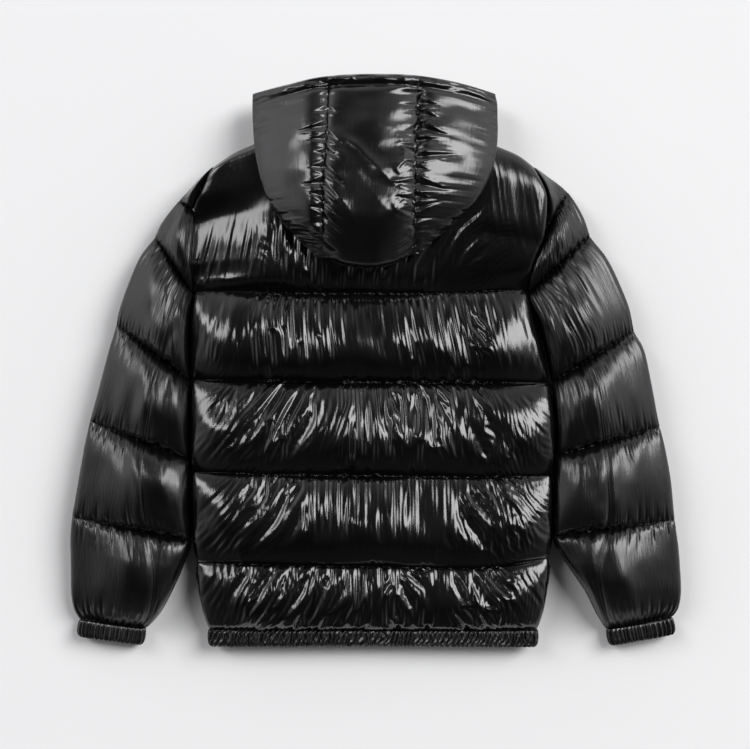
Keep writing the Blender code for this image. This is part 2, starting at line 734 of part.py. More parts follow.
# ---------------------------------------------------------------- zip
def build_zip_tape(name, side, material, group):
    """Half of the closed zip: a tape with its row of teeth along the centre line."""
    sections = []
    ys = [386.0, 300.0, 200.0, 98.0, -28.0, -157.0, -282.0, -373.0, -396.0]
    for y in ys:
        z = interp(MID_LINE, y) - GAP / 2
        profile = ((0.15, -0.3), (TAPE_REACH, -0.3), (TAPE_REACH, -1.2), (3.0, -1.2), (3.0, -3.6), (0.15, -3.6))
        sections.append([(side * px, y, z + pz) for px, pz in profile])
    sweep(name, sections, material, group)


def build_slider(material, group, cutters):
    plate_z = PULL_AXIS_Z + 4.0
    slider = block("zip_slider", (0.0, SLIDER_Y, plate_z), SLIDER_SIZE, 0.6, material, group)
    bridge = block("slider_bridge", (0.0, SLIDER_Y, PULL_AXIS_Z + 0.15), BRIDGE_SIZE, 0.4, None, cutters)
    hole = block("bridge_hole", (0.0, SLIDER_Y, PULL_AXIS_Z), (8.0, BRIDGE_HOLE[0], BRIDGE_HOLE[1]), 0.0, None, cutters)
    cut(slider, as_cutter(bridge), "UNION")
    cut(slider, as_cutter(hole), "DIFFERENCE")


def build_pull(material, group, cutters):
    """The pull tab, hanging straight down from its bar; its origin is on the bar's axis."""
    tab = block("zip_pull", (0.0, 0.0, -PULL_LENGTH / 2), (PULL_WIDTH, PULL_THICK, PULL_LENGTH), 0.5, material, group)
    bm = bmesh.new()
    bmesh.ops.create_cone(bm, cap_ends=True, segments=16, radius1=PULL_BAR_R * MM, radius2=PULL_BAR_R * MM, depth=7.0 * MM)
    bmesh.ops.rotate(bm, cent=(0, 0, 0), matrix=Matrix.Rotation(math.pi / 2, 3, "Y"), verts=bm.verts)
    bar = add_object("pull_bar", bm, None, cutters)
    window = block("pull_window", (0.0, 0.0, -PULL_WINDOW / 2 + 1.5), (4.6, 6.0, PULL_WINDOW + 3.0), 0.0, None, cutters)
    for obj in (tab, bar, window):
        obj.location = (0.0, SLIDER_Y * MM, PULL_AXIS_Z * MM)
    cut(tab, as_cutter(window), "DIFFERENCE")
    cut(tab, as_cutter(bar), "UNION")


def main():
    for obj in list(bpy.data.objects):
        bpy.data.objects.remove(obj, do_unlink=True)
    group, cutters = collection(COLLECTION), collection(CUTTERS)

    def shell(name):
        return fabric(name + "_nylon", (0.012, 0.012, 0.013), 0.22, coat=0.6)

    def rib(name):
        return fabric(name + "_rib", (0.015, 0.015, 0.016), 0.5)

    build_back(shell("back_panel"), group)
    for name, side in (("front_left", -1), ("front_right", 1)):
        build_front(name, side, shell(name), group)
    for name, side in (("collar_left", -1), ("collar_right", 1)):
        build_collar(name, side, shell(name), group)
    for side, table in (("left", SLEEVE_LEFT), ("right", SLEEVE_RIGHT)):
        build_sleeve(f"sleeve_{side}_top", table, True, shell(f"sleeve_{side}_top"), group)
        build_sleeve(f"sleeve_{side}_under", table, False, shell(f"sleeve_{side}_under"), group)
        build_cuff(f"cuff_{side}", table, rib(f"cuff_{side}"), group)
    build_hem(rib("hem_band"), group)

    outline = hood_outline()
    cavity = build_hood_cavity(cutters)
    for part, name in (("left", "hood_side_left"), ("centre", "hood_center"), ("right", "hood_side_right")):
        piece = build_hood_piece(name, part, outline, shell(name), group)
        cut(piece, cavity)

    for name, side in (("zip_tape_left", -1), ("zip_tape_right", 1)):
        build_zip_tape(name, side, fabric(name + "_cloth", (0.02, 0.02, 0.02), 0.7), group)
    build_slider(fabric("zip_slider_metal", (0.05, 0.05, 0.055), 0.35, metallic=1.0), group, cutters)
    build_pull(fabric("zip_pull_metal", (0.05, 0.05, 0.055), 0.35, metallic=1.0), group, cutters)


main()
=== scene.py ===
import json
import math

import bpy
import numpy as np
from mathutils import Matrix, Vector

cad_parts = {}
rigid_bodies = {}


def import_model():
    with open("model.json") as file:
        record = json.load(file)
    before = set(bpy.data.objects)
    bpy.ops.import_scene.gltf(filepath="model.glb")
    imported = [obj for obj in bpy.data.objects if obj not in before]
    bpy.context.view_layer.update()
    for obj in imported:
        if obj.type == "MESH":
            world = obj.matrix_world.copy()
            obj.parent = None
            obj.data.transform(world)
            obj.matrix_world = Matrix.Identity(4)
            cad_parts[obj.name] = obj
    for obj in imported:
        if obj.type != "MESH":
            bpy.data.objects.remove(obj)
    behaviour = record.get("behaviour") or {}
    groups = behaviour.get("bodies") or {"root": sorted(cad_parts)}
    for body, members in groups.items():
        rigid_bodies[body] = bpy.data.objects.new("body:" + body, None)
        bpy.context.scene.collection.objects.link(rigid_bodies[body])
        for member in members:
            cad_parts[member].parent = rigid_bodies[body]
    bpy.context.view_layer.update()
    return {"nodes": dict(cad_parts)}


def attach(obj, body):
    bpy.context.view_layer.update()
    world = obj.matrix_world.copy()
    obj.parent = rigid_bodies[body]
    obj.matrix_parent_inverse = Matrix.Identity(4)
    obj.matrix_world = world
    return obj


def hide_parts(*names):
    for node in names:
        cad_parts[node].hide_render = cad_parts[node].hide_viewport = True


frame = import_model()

# ================================================================ sizes, mm, as in the part's source
MM = 0.001
GAP = 0.3
YOKE_SKEW = 2.6    # the top row stands highest near its lower seam
MID = 40.0
SEAM_WALL = 9.0
SEAM_RISE = 12.0     # a seam of the sewn shell stands this much higher than in the plain solid
FRONT_WALL = 12.0
FRONT_LOFT = 60.0
BODY_ROUND = 5.0
ROW_END = (0.27, 0.36)    # the rows fall by the second share over the first share of the half width, then drop
YOKE_RAMP = 0.55          # the left shoulder slopes evenly from this share of the half width to the armhole
SLEEVE_ROUND = 2.3
SLEEVE_POWER = 0.44       # a sleeve's rows are level between short steep ends
EDGE_REST = 0.03
ARMHOLE_REST = 0.45
CENTRE_EDGE = 5.8
TAPE_REACH = 13.0
HOOD_ROUND = 55.0
HOOD_TOP = (-86.0, 2.0)   # the hood's crown is level between these, and its flanks slope from them to its edges
HOOD_SLOPE = 1.2           # nearly straight
HEM_DEPTH = 24.0
CUFF_WALL = 7.0
FRONT_SEAM = 0.75

BODY_ROWS = np.array([(98.0, 46.0), (-28.0, 46.0), (-157.0, 46.0), (-282.0, 44.0), (-373.0, 36.0)])
# how much each quilting seam of the back leaves its straight line. columns: share of the width, seams 1 to 4
SEAM_WAVE = np.array([
    (0.00, 1.0, 3.5, 4.0, 3.0),
    (0.15, 0.0, 1.5, 1.5, 1.0),
    (0.35, -3.0, -0.5, -0.5, -1.5),
    (0.55, -4.0, -1.0, -1.5, -3.0),
    (0.78, -1.0, -2.0, -2.5, -5.0),
    (0.92, 2.0, -1.5, -2.0, 2.0),
    (1.00, 3.0, -1.0, -1.0, 9.0),
])
BODY_EDGE = np.array([
    (98.0, -253.0, 214.0), (58.0, -256.0, 223.0), (-12.0, -256.0, 241.0), (-87.0, -256.0, 251.0),
    (-154.0, -256.0, 249.0), (-250.0, -252.0, 246.0), (-296.0, -249.0, 244.0), (-340.0, -242.0, 238.0),
    (-373.0, -234.0, 230.0),
])
ARMHOLE = np.array([
    (-223.0, 273.0, 220.0, 273.0), (-238.0, 249.0, 239.0, 225.0), (-251.0, 211.0, 236.0, 177.0),
    (-252.0, 172.0, 228.0, 155.0), (-252.0, 133.0, 218.0, 127.0), (-253.0, 98.0, 214.0, 98.0),
])
SHOULDER = np.array([
    (-223.0, 273.0), (-193.0, 292.0), (-168.0, 303.0), (-106.0, 329.0), (-64.0, 321.0), (0.0, 317.0),
    (64.0, 321.0), (106.0, 329.0), (169.0, 301.0), (199.0, 288.0), (220.0, 273.0),
])
FRONT_NECK = np.array([(0.0, 212.0), (35.0, 220.0), (70.0, 242.0), (96.0, 282.0), (106.0, 329.0)])
MID_LINE = np.array([(-157.0, 40.0), (-282.0, 38.0), (-373.0, 27.0)])
FRONT_CENTRE = np.array([
    (0.0, 0.2), (5.0, 0.35), (12.0, 0.6), (22.0, 0.9), (34.0, 1.0), (64.2, 1.0), (90.2, 1.0), (100.2, 1.0),
])
SLEEVE_LEFT = np.array([
    (-228.0, 272.5, -223.5, 273.0, 26.0, 1.00),
    (-248.0, 253.0, -238.5, 249.0, 32.0, 1.00),
    (-273.0, 226.0, -251.5, 211.0, 36.0, 0.92),
    (-288.0, 208.0, -252.5, 172.0, 42.0, 0.87),
    (-301.0, 190.0, -252.5, 133.0, 44.0, 0.83),
    (-307.0, 175.0, -253.5, 97.0, 44.0, 0.80),
    (-326.0, 151.0, -258.5, 63.0, 46.0, 0.75),
    (-344.0, 112.0, -258.5, 32.0, 48.0, 0.71),
    (-357.0, 74.0, -258.5, -3.0, 48.0, 0.66),
    (-361.0, 53.0, -258.5, -26.0, 46.0, 0.63),
    (-372.0, 18.0, -258.5, -56.0, 46.0, 0.60),
    (-386.0, -35.0, -258.5, -98.0, 46.0, 0.58),
    (-398.0, -82.0, -258.5, -135.0, 44.0, 0.56),
    (-406.0, -115.0, -258.5, -164.0, 44.0, 0.57),
    (-416.0, -171.0, -258.5, -206.0, 42.0, 0.60),
    (-423.0, -216.0, -256.5, -247.0, 40.0, 0.65),
    (-427.0, -255.0, -266.0, -279.0, 40.0, 0.74),
    (-427.0, -311.0, -288.0, -328.0, 36.0, 0.86),
    (-424.0, -342.0, -305.0, -357.0, 28.0, 0.90),
    (-416.0, -360.0, -322.0, -373.0, 22.0, 0.92),
])
SLEEVE_RIGHT = np.array([
    (225.0, 272.5, 220.5, 273.0, 26.0, 1.00),
    (248.0, 256.0, 239.5, 225.0, 32.0, 1.00),
    (270.0, 238.0, 236.5, 177.0, 36.0, 0.92),
    (283.0, 219.0, 228.5, 155.0, 42.0, 0.87),
    (294.0, 198.0, 218.5, 127.0, 44.0, 0.83),
    (301.0, 177.0, 214.5, 97.0, 44.0, 0.80),
    (323.0, 149.0, 227.5, 63.0, 46.0, 0.75),
    (342.0, 112.0, 236.0, 32.0, 48.0, 0.71),
    (357.0, 74.0, 244.0, 1.0, 48.0, 0.66),
    (363.0, 44.0, 248.5, -26.0, 46.0, 0.63),
    (377.0, 18.0, 252.0, -52.0, 46.0, 0.60),
    (389.0, -35.0, 254.0, -94.0, 46.0, 0.57),
    (399.0, -90.0, 253.5, -129.0, 44.0, 0.55),
    (406.0, -115.0, 252.5, -164.0, 44.0, 0.55),
    (416.0, -171.0, 251.0, -206.0, 42.0, 0.55),
    (420.0, -220.0, 249.5, -241.0, 40.0, 0.57),
    (427.0, -262.0, 266.0, -276.0, 40.0, 0.70),
    (431.0, -318.0, 297.0, -322.0, 36.0, 0.86),
    (428.0, -343.0, 314.0, -356.0, 28.0, 0.90),
    (420.0, -357.0, 326.0, -374.0, 22.0, 0.92),
])
SLEEVE_SEAMS = (0, 2, 5, 9, 12, 15, 19)
HOOD_PLAN = np.array([
    (399.0, -168.0, -64.0, 61.0, 167.0),
    (375.0, -169.0, -64.0, 61.0, 168.0),
    (357.0, -169.5, -64.0, 61.0, 171.0),
    (326.0, -168.0, -65.0, 59.0, 171.0),
    (295.0, -165.0, -66.0, 57.0, 169.0),
    (256.0, -157.0, -68.0, 56.0, 158.0),
    (221.0, -144.0, -70.0, 55.0, 139.0),
    (193.0, -127.0, -70.0, 54.0, 111.0),
    (168.0, -105.0, -70.0, 54.0, 83.0),
    (150.0, -84.0, -70.0, 53.0, 62.0),
])
HOOD_ENDS = np.array([
    (-169.0, 375.0, 150.0), (-120.0, 385.0, 150.0), (-70.0, 395.0, 142.0), (-39.0, 398.0, 131.0),
    (0.0, 399.0, 128.0), (28.0, 399.0, 135.0), (54.0, 398.0, 148.0), (111.0, 390.0, 150.0), (168.0, 376.0, 150.0),
])
HOOD_CROWN = np.array([
    (399.0, 98.0, 60.0), (384.0, 103.0, 61.0), (357.0, 113.0, 63.0), (326.0, 124.0, 72.0),
    (295.0, 134.0, 83.0), (256.0, 143.0, 97.0), (205.0, 148.0, 106.0), (128.0, 148.0, 109.0),
])
# across a sleeve from its outer fold: share of the width, share of the height
YOKE_RISE = np.array([(0.0, 0.0), (0.08, 0.42), (0.36, 0.46), (0.48, 0.53), (0.72, 0.94), (0.79, 1.0), (0.90, 0.84), (1.0, 0.0)])
SLEEVE_ACROSS = np.array([
    (0.0, 0.0), (0.008, 0.09), (0.03, 0.17), (0.08, 0.26), (0.20, 0.44), (0.35, 0.67), (0.51, 0.905), (0.56, 0.965),
    (0.62, 0.995), (0.78, 1.0), (0.87, 0.94), (0.94, 0.81), (0.98, 0.60), (1.0, 0.0),
])
# smooth or lively places of the back: x, y, half width, half height, share of the spare cloth
BACK_PATCHES = np.array([
    (-197.0, 53.0, 34.0, 34.0, 0.15), (-83.0, 46.0, 20.0, 26.0, 0.35), (-13.0, 39.0, 40.0, 60.0, 0.10),
    (224.0, 46.0, 18.0, 60.0, 0.15), (-190.0, 155.0, 42.0, 36.0, 0.30), (195.0, 215.0, 46.0, 60.0, 0.90),
    (-244.0, -100.0, 22.0, 60.0, 0.12), (-244.0, -222.0, 22.0, 60.0, 0.12), (-106.0, -252.0, 62.0, 26.0, 0.20),
    (6.0, -258.0, 60.0, 26.0, 0.20), (0.0, -208.0, 26.0, 22.0, 0.35), (139.0, -80.0, 22.0, 30.0, 0.25),
    (76.0, -330.0, 34.0, 26.0, 0.40), (-30.0, -140.0, 240.0, 12.0, 0.30), (0.0, -8.0, 240.0, 14.0, 0.30),
    (0.0, -268.0, 240.0, 12.0, 0.30), (-60.0, -90.0, 120.0, 34.0, 1.25), (110.0, 45.0, 34.0, 40.0, 1.3),
])
# puckers off the hood's two long seams: seam, side, y, length, width, depth, slant
HOOD_PUCKERS = np.array([
    (1, 1, 373, 16, 7, 2.0, 0.1), (1, 1, 356, 24, 10, 3.2, -0.1), (1, 1, 341, 24, 11, 3.6, -0.2), (1, 1, 321, 40, 13, 4.2, -0.25),
    (1, 1, 302, 22, 10, 3.4, 0.1), (1, 1, 279, 50, 9, 3.4, 0.1), (1, 1, 263, 14, 8, 2.6, -0.1), (1, 1, 243, 40, 12, 4.0, -0.2),
    (1, 1, 226, 18, 9, 3.0, -0.3), (1, 1, 210, 30, 8, 2.8, 0.25), (1, 1, 196, 30, 8, 2.8, 0.05), (1, 1, 180, 38, 8, 2.8, 0.15),
    (1, 1, 166, 20, 7, 2.2, 0.1),
    (1, -1, 383, 20, 7, 1.6, 0.1), (1, -1, 352, 30, 6, 1.6, 0.05), (1, -1, 343, 22, 5, 1.4, -0.05), (1, -1, 320, 18, 11, 3.2, -0.3),
    (1, -1, 292, 26, 8, 2.4, 0.2), (1, -1, 268, 20, 9, 2.8, 0.3), (1, -1, 240, 34, 10, 3.4, 0.1), (1, -1, 219, 30, 9, 3.2, 0.2),
    (1, -1, 203, 26, 8, 2.8, 0.15), (1, -1, 186, 16, 8, 2.4, 0.2), (1, -1, 166, 20, 8, 2.4, 0.4),
    (0, -1, 366, 12, 7, 1.6, 0.0), (0, -1, 345, 18, 8, 2.2, -0.2), (0, -1, 322, 42, 9, 3.4, -0.2), (0, -1, 303, 26, 9, 3.0, 0.0),
    (0, -1, 282, 16, 9, 3.0, 0.2), (0, -1, 264, 22, 10, 3.0, 0.0), (0, -1, 243, 30, 10, 3.2, -0.1), (0, -1, 225, 20, 9, 3.0, 0.2),
    (0, -1, 208, 18, 8, 2.6, 0.1), (0, -1, 190, 26, 8, 2.4, -0.1), (0, -1, 170, 18, 8, 2.2, 0.2),
    (0, 1, 374, 12, 7, 1.4, 0.0), (0, 1, 346, 16, 7, 1.6, -0.5), (0, 1, 312, 26, 8, 2.0, -0.8), (0, 1, 288, 22, 8, 2.0, -0.7),
    (0, 1, 262, 34, 9, 2.4, -0.8), (0, 1, 240, 30, 8, 2.4, -1.0), (0, 1, 219, 26, 8, 2.2, -1.0), (0, 1, 198, 34, 8, 2.4, -0.9),
    (0, 1, 178, 20, 7, 2.0, -0.8), (0, 1, 160, 16, 7, 1.8, -0.7),
])
# soft folds of the hood's middle strip: points of a ridge, its height and half width
HOOD_FOLDS = (
    (((-44, 309), (-20, 290), (2, 267), (22, 246), (54, 238)), 2.0, 5.0),
    (((-30, 268), (-10, 240), (10, 214), (36, 190)), 0.8, 6.0),
    (((36, 303), (42, 288), (38, 272), (30, 262), (40, 250)), 2.4, 3.2),
    (((10, 330), (26, 318), (40, 300)), 1.0, 4.0),
    (((-52, 230), (-36, 205), (-26, 180)), 1.8, 5.0),
    (((22, 222), (30, 206), (48, 200)), 2.0, 3.4),
)
COLLAR_TOP = np.array([
    (-160.0, 364.0), (-120.0, 376.0), (-63.0, 386.0), (0.0, 389.0), (63.0, 386.0), (120.0, 378.0), (160.0, 366.0),
])


# ================================================================ numbers and fields
def lin(table, key, column=1):
    t = table if table[0, 0] < table[-1, 0] else table[::-1]
    return np.interp(key, t[:, 0], t[:, column])


def curve(table, key, column=1):
    """Smooth value of a table's column, with no overshoot (monotone cubic)."""
    t = table if table[0, 0] < table[-1, 0] else table[::-1]
    x, y = t[:, 0], t[:, column]
    h = np.diff(x)
    d = np.diff(y) / h
    m = np.zeros(len(x))
    for i in range(1, len(x) - 1):
        if d[i - 1] * d[i] > 0:
            a, b = 2 * h[i] + h[i - 1], h[i] + 2 * h[i - 1]
            m[i] = (a + b) / (a / d[i - 1] + b / d[i])
    m[0], m[-1] = d[0], d[-1]
    q = np.clip(np.asarray(key, float), x[0], x[-1])
    i = np.clip(np.searchsorted(x, q) - 1, 0, len(h) - 1)
    f = (q - x[i]) / h[i]
    return ((1 + 2 * f) * (1 - f) ** 2 * y[i] + f * (1 - f) ** 2 * h[i] * m[i]
            + f * f * (3 - 2 * f) * y[i + 1] + f * f * (f - 1) * h[i] * m[i + 1])


def pillow(t, power=0.50):
    return np.maximum(0.0, 4.0 * t * (1.0 - t)) ** power


def quilted(t, wall, loft, rise=SEAM_RISE, power=0.62, skew=1.35):
    """Height over the lining of a pillow between two seams; with more skew it stands highest further down."""
    return wall + rise + (loft - wall - rise) * pillow(t ** skew, power)


def fold(w, power):
    return np.maximum(0.0, 1.0 - np.abs(2.0 * w - 1.0) ** power) ** (1.0 / power)


def sleeve_fold(w):
    """Height of a sleeve across its width: a long even slope from its outer fold, a flat top, a short drop inside."""
    return curve(SLEEVE_ACROSS, w)


def step(x, lo, hi):
    f = np.clip((x - lo) / (hi - lo), 0.0, 1.0)
    return f * f * (3 - 2 * f)


def even(x, z, count):
    """Parameters 0..1 of count + 1 points spaced evenly along the line (x, z)."""
    f = np.linspace(0, 1, len(x))
    s = np.concatenate([[0], np.cumsum(np.hypot(np.diff(x), np.diff(z)))])
    return np.interp(np.linspace(0, s[-1], count + 1), s, f)


def noise(shape, cells, rng, octaves=1, gain=0.5):
    """Smooth random field of a grid, cells lattice steps high and wide."""
    rows, cols = shape
    out = np.zeros(shape, np.float32)
    amp, (cy, cx) = 1.0, cells
    for _ in range(octaves):
        lattice = rng.standard_normal((int(cy) + 3, int(cx) + 3)).astype(np.float32)
        y = np.linspace(0, cy, rows, dtype=np.float32) + 0.5
        x = np.linspace(0, cx, cols, dtype=np.float32) + 0.5
        iy, ix = np.floor(y).astype(int), np.floor(x).astype(int)
        fy, fx = y - iy, x - ix
        fy, fx = (fy * fy * (3 - 2 * fy))[:, None], (fx * fx * (3 - 2 * fx))[None, :]
        a, b = lattice[iy][:, ix], lattice[iy][:, ix + 1]
        c, d = lattice[iy + 1][:, ix], lattice[iy + 1][:, ix + 1]
        out += amp * ((a * (1 - fx) + b * fx) * (1 - fy) + (c * (1 - fx) + d * fx) * fy)
        amp, cy, cx = amp * gain, cy * 2, cx * 2
    return out


def wave(count, cells, rng, octaves=2):
    return noise((2, count), (1, cells), rng, octaves)[0]


def streaks(x, y, turn, across, along, rng):
    """Smooth ridges, across mm wide and along mm long, turned from the y axis by an angle."""
    lattice = rng.standard_normal((256, 256)).astype(np.float32)
    a = (x * np.cos(turn) + y * np.sin(turn)) / across
    b = (x * np.sin(turn) - y * np.cos(turn)) / along
    i, j = np.floor(a).astype(int), np.floor(b).astype(int)
    fa, fb = a - i, b - j
    fa, fb = fa * fa * (3 - 2 * fa), fb * fb * (3 - 2 * fb)
    i0, i1, j0, j1 = i % 256, (i + 1) % 256, j % 256, (j + 1) % 256
    return ((lattice[i0, j0] * (1 - fa) + lattice[i1, j0] * fa) * (1 - fb)
            + (lattice[i0, j1] * (1 - fa) + lattice[i1, j1] * fa) * fb)


# ================================================================ cloth settling
def normals(X):
    du, dv = np.empty_like(X), np.empty_like(X)
    du[:, 1:-1] = X[:, 2:] - X[:, :-2]
    du[:, 0], du[:, -1] = X[:, 1] - X[:, 0], X[:, -1] - X[:, -2]
    dv[1:-1] = X[2:] - X[:-2]
    dv[0], dv[-1] = X[1] - X[0], X[-1] - X[-2]
    n = np.cross(dv, du)
    return n / np.maximum(np.linalg.norm(n, axis=2, keepdims=True), 1e-12)


def length(a):
    return np.sqrt(np.einsum("ijk,ijk->ij", a, a))


def relax(P0, E, phi, w, iters, foundation, bend, pull=0.0, pressure=0.0, shear=0.3, damp=0.9, X=None, floor=None):
    """Settles a sheet that is too long for its place on a soft pad.

    P0 is the pad's face; E the share of spare length, in the direction phi from the grid's rows; w is 0 where the
    sheet is sewn down. Every edge of the grid keeps its length; the pad pulls the sheet back and it resists bending.
    """
    P0 = P0.astype(np.float32)
    rows, cols = P0.shape[:2]
    X = P0.copy() if X is None else X.astype(np.float32).copy()
    w, E = w.astype(np.float32), E.astype(np.float32)
    phi = (phi + np.zeros_like(E)).astype(np.float32)
    full = slice(None)
    Lu, Lv = length(P0[:, 1:] - P0[:, :-1]), length(P0[1:] - P0[:-1])
    sets = []

    def add(A, B, angle, k):
        e, p = 0.5 * (E[A] + E[B]), 0.5 * (phi[A] + phi[B])
        c2 = np.cos(angle - p) ** 2
        L = length(P0[B] - P0[A]) * (1 + e * c2 - pull * (1 - c2))
        sets.append((A, B, L, np.float32(k), w[A], w[B], 1.0 / np.maximum(w[A] + w[B], 1e-6)))

    for s in (0, 1):
        n = len(range(s + 1, cols, 2))
        add((full, slice(s, s + 2 * n, 2)), (full, slice(s + 1, None, 2)), 0.0, 1.0)
        n = len(range(s + 1, rows, 2))
        add((slice(s, s + 2 * n, 2), full), (slice(s + 1, None, 2), full), np.pi / 2, 1.0)
    for s in (0, 1):
        n = len(range(s + 1, rows, 2))
        for ca, cb, sign in ((slice(0, cols - 1), slice(1, cols), 1), (slice(1, cols), slice(0, cols - 1), -1)):
            lv = 0.5 * (Lv[s::2][:n][:, 1:] + Lv[s::2][:n][:, :-1])
            angle = np.arctan2(lv, sign * Lu[s:s + 2 * n:2])
            add((slice(s, s + 2 * n, 2), ca), (slice(s + 1, None, 2), cb), angle, shear)
    before = X.copy()
    free = (w > 0).astype(np.float32)[..., None]
    inside = free[1:-1, 1:-1]
    for it in range(iters):
        move = (X - before) * np.float32(damp)
        before = X.copy()
        if it % 8 == 0:
            push = normals(X) * np.float32(pressure)
        X += (move + push + foundation * (P0 - X)) * free
        lap = np.zeros_like(X)
        lap[1:-1, 1:-1] = X[2:, 1:-1] + X[:-2, 1:-1] + X[1:-1, 2:] + X[1:-1, :-2] - 4 * X[1:-1, 1:-1]
        X[1:-1, 1:-1] -= np.float32(bend) * inside * (
            lap[2:, 1:-1] + lap[:-2, 1:-1] + lap[1:-1, 2:] + lap[1:-1, :-2] - 4 * lap[1:-1, 1:-1])
        for A, B, L, k, wa, wb, inv in sets:
            a, b = X[A], X[B]
            d = b - a
            dist = np.sqrt(np.einsum("ijk,ijk->ij", d, d))
            f = k * (dist - L) / np.maximum(dist, 1e-9) * inv
            X[A] = a + d * (f * wa)[..., None]
            X[B] = b - d * (f * wb)[..., None]
        if floor is not None:
            np.maximum(X[..., 2], floor, out=X[..., 2])
    return X


def finer(X, shape):
    rows, cols = X.shape[:2]
    y, x = np.linspace(0, rows - 1, shape[0]), np.linspace(0, cols - 1, shape[1])
    iy, ix = np.minimum(y.astype(int), rows - 2), np.minimum(x.astype(int), cols - 2)
    fy, fx = (y - iy)[:, None], (x - ix)[None]
    if X.ndim == 3:
        fy, fx = fy[..., None], fx[..., None]
    a, b, c, d = X[iy][:, ix], X[iy][:, ix + 1], X[iy + 1][:, ix], X[iy + 1][:, ix + 1]
    return ((a * (1 - fx) + b * fx) * (1 - fy) + (c * (1 - fx) + d * fx) * fy).astype(np.float32)


def crinkle(P, w, E, phi, rng, stiff=1.0, coarse=1.0, fine=1.0, iters=(120, 180), pad=(0.004, 0.010), bend=(0.0015, 0.003),
            start=(1.2, 0.4), cells=((10, 44), (10, 150)), pull=0.0, floor=None, k=3, shear=0.3):
    """Two passes of settling: broad folds on every k-th line of the grid, then the small ones. P is in metres."""
    shape = P.shape[:2]
    phi = phi + np.zeros(shape)
    stiff = (stiff + np.zeros(shape)).astype(np.float32)[..., None]
    coarse = (coarse + np.zeros(shape))[::k, ::k]
    Pc, wc = P[::k, ::k], w[::k, ::k]
    seed = noise(Pc.shape[:2], cells[0], rng, 2) * start[0] * MM * wc
    Xc = relax(Pc, E[::k, ::k] * coarse, phi[::k, ::k], wc, iters[0], pad[0] * stiff[::k, ::k], bend[0], pull, shear=shear,
               X=Pc + seed[..., None] * normals(Pc), floor=floor)
    D = finer(Xc - Pc, shape) * w[..., None]
    seed = noise(shape, cells[1], rng, 2) * start[1] * MM * w
    return relax(P + 0.9 * D, E * fine, phi, w, iters[1], pad[1] * stiff, bend[1], pull, shear=shear,
                 X=P + D + seed[..., None] * normals(P), floor=floor)


# ================================================================ meshes
def make_object(name, verts, tris, quads, uv=None, smooth=True):
    mesh = bpy.data.meshes.new(name)
    tris, quads = np.asarray(tris, np.int32).reshape(-1, 3), np.asarray(quads, np.int32).reshape(-1, 4)
    mesh.vertices.add(len(verts))
    mesh.vertices.foreach_set("co", np.asarray(verts, np.float32).reshape(-1))
    loops = np.concatenate([quads.reshape(-1), tris.reshape(-1)]).astype(np.int32)
    mesh.loops.add(len(loops))
    mesh.loops.foreach_set("vertex_index", loops)
    starts = np.concatenate([np.arange(len(quads)) * 4, len(quads) * 4 + np.arange(len(tris)) * 3]).astype(np.int32)
    mesh.polygons.add(len(starts))
    mesh.polygons.foreach_set("loop_start", starts)
    mesh.update()
    mesh.validate()
    if uv is not None:
        layer = mesh.uv_layers.new(name="cloth")
        layer.data.foreach_set("uv", np.asarray(uv, np.float32)[loops].reshape(-1))
    if smooth:
        mesh.shade_smooth()
    obj = bpy.data.objects.new(name, mesh)
    bpy.context.scene.collection.objects.link(obj)
    return obj


def signed_volume(verts, tris, quads):
    v = np.asarray(verts, float)
    t = np.concatenate([np.asarray(tris, int).reshape(-1, 3),
                        np.asarray(quads, int).reshape(-1, 4)[:, [0, 1, 2]],
                        np.asarray(quads, int).reshape(-1, 4)[:, [0, 2, 3]]])
    return np.einsum("ij,ij->i", v[t[:, 0]], np.cross(v[t[:, 1]], v[t[:, 2]])).sum() / 6


def grid_quads(index):
    return np.stack([index[:-1, :-1], index[1:, :-1], index[1:, 1:], index[:-1, 1:]], -1).reshape(-1, 4)


def border(index):
    return np.concatenate([index[0, :-1], index[:-1, -1], index[-1, :0:-1], index[:0:-1, 0]])


def closed(name, outer, inner, k, uv=None, extra=None):
    """A closed piece from a fine outer face and an inner face that keeps every k-th line of the same grid."""
    rows, cols = outer.shape[:2]
    ri = np.unique(np.append(np.arange(0, rows, k), rows - 1))
    ci = np.unique(np.append(np.arange(0, cols, k), cols - 1))
    fine = np.arange(rows * cols).reshape(rows, cols)
    coarse = rows * cols + np.arange(len(ri) * len(ci)).reshape(len(ri), len(ci))
    verts = np.concatenate([outer.reshape(-1, 3), inner[np.ix_(ri, ci)].reshape(-1, 3)])
    quads = [grid_quads(fine), grid_quads(coarse)[:, ::-1]]
    back = np.full(rows * cols, -1)
    back[fine[np.ix_(ri, ci)].reshape(-1)] = coarse.reshape(-1)
    loop = border(fine)
    marks = [i for i in range(len(loop)) if back[loop[i]] >= 0]
    tris = []
    for a, b in zip(marks, marks[1:] + [marks[0] + len(loop)]):
        ca, cb = back[loop[a]], back[loop[b % len(loop)]]
        mid = (a + b) // 2
        for i in range(a, b):
            f0, f1 = loop[i % len(loop)], loop[(i + 1) % len(loop)]
            tris.append((f1, f0, ca if i < mid else cb))
            if i == mid:
                tris.append((f0, ca, cb))
        if mid == b:
            tris.append((loop[b % len(loop)], ca, cb))
    quads = np.concatenate(quads)
    tris = np.array(tris)
    if signed_volume(verts, tris, quads) < 0:
        quads, tris = quads[:, ::-1], tris[:, ::-1]
    if uv is not None:
        uv = np.concatenate([uv.reshape(-1, 2), uv[np.ix_(ri, ci)].reshape(-1, 2)])
    return make_object(name, verts, tris, quads, uv)


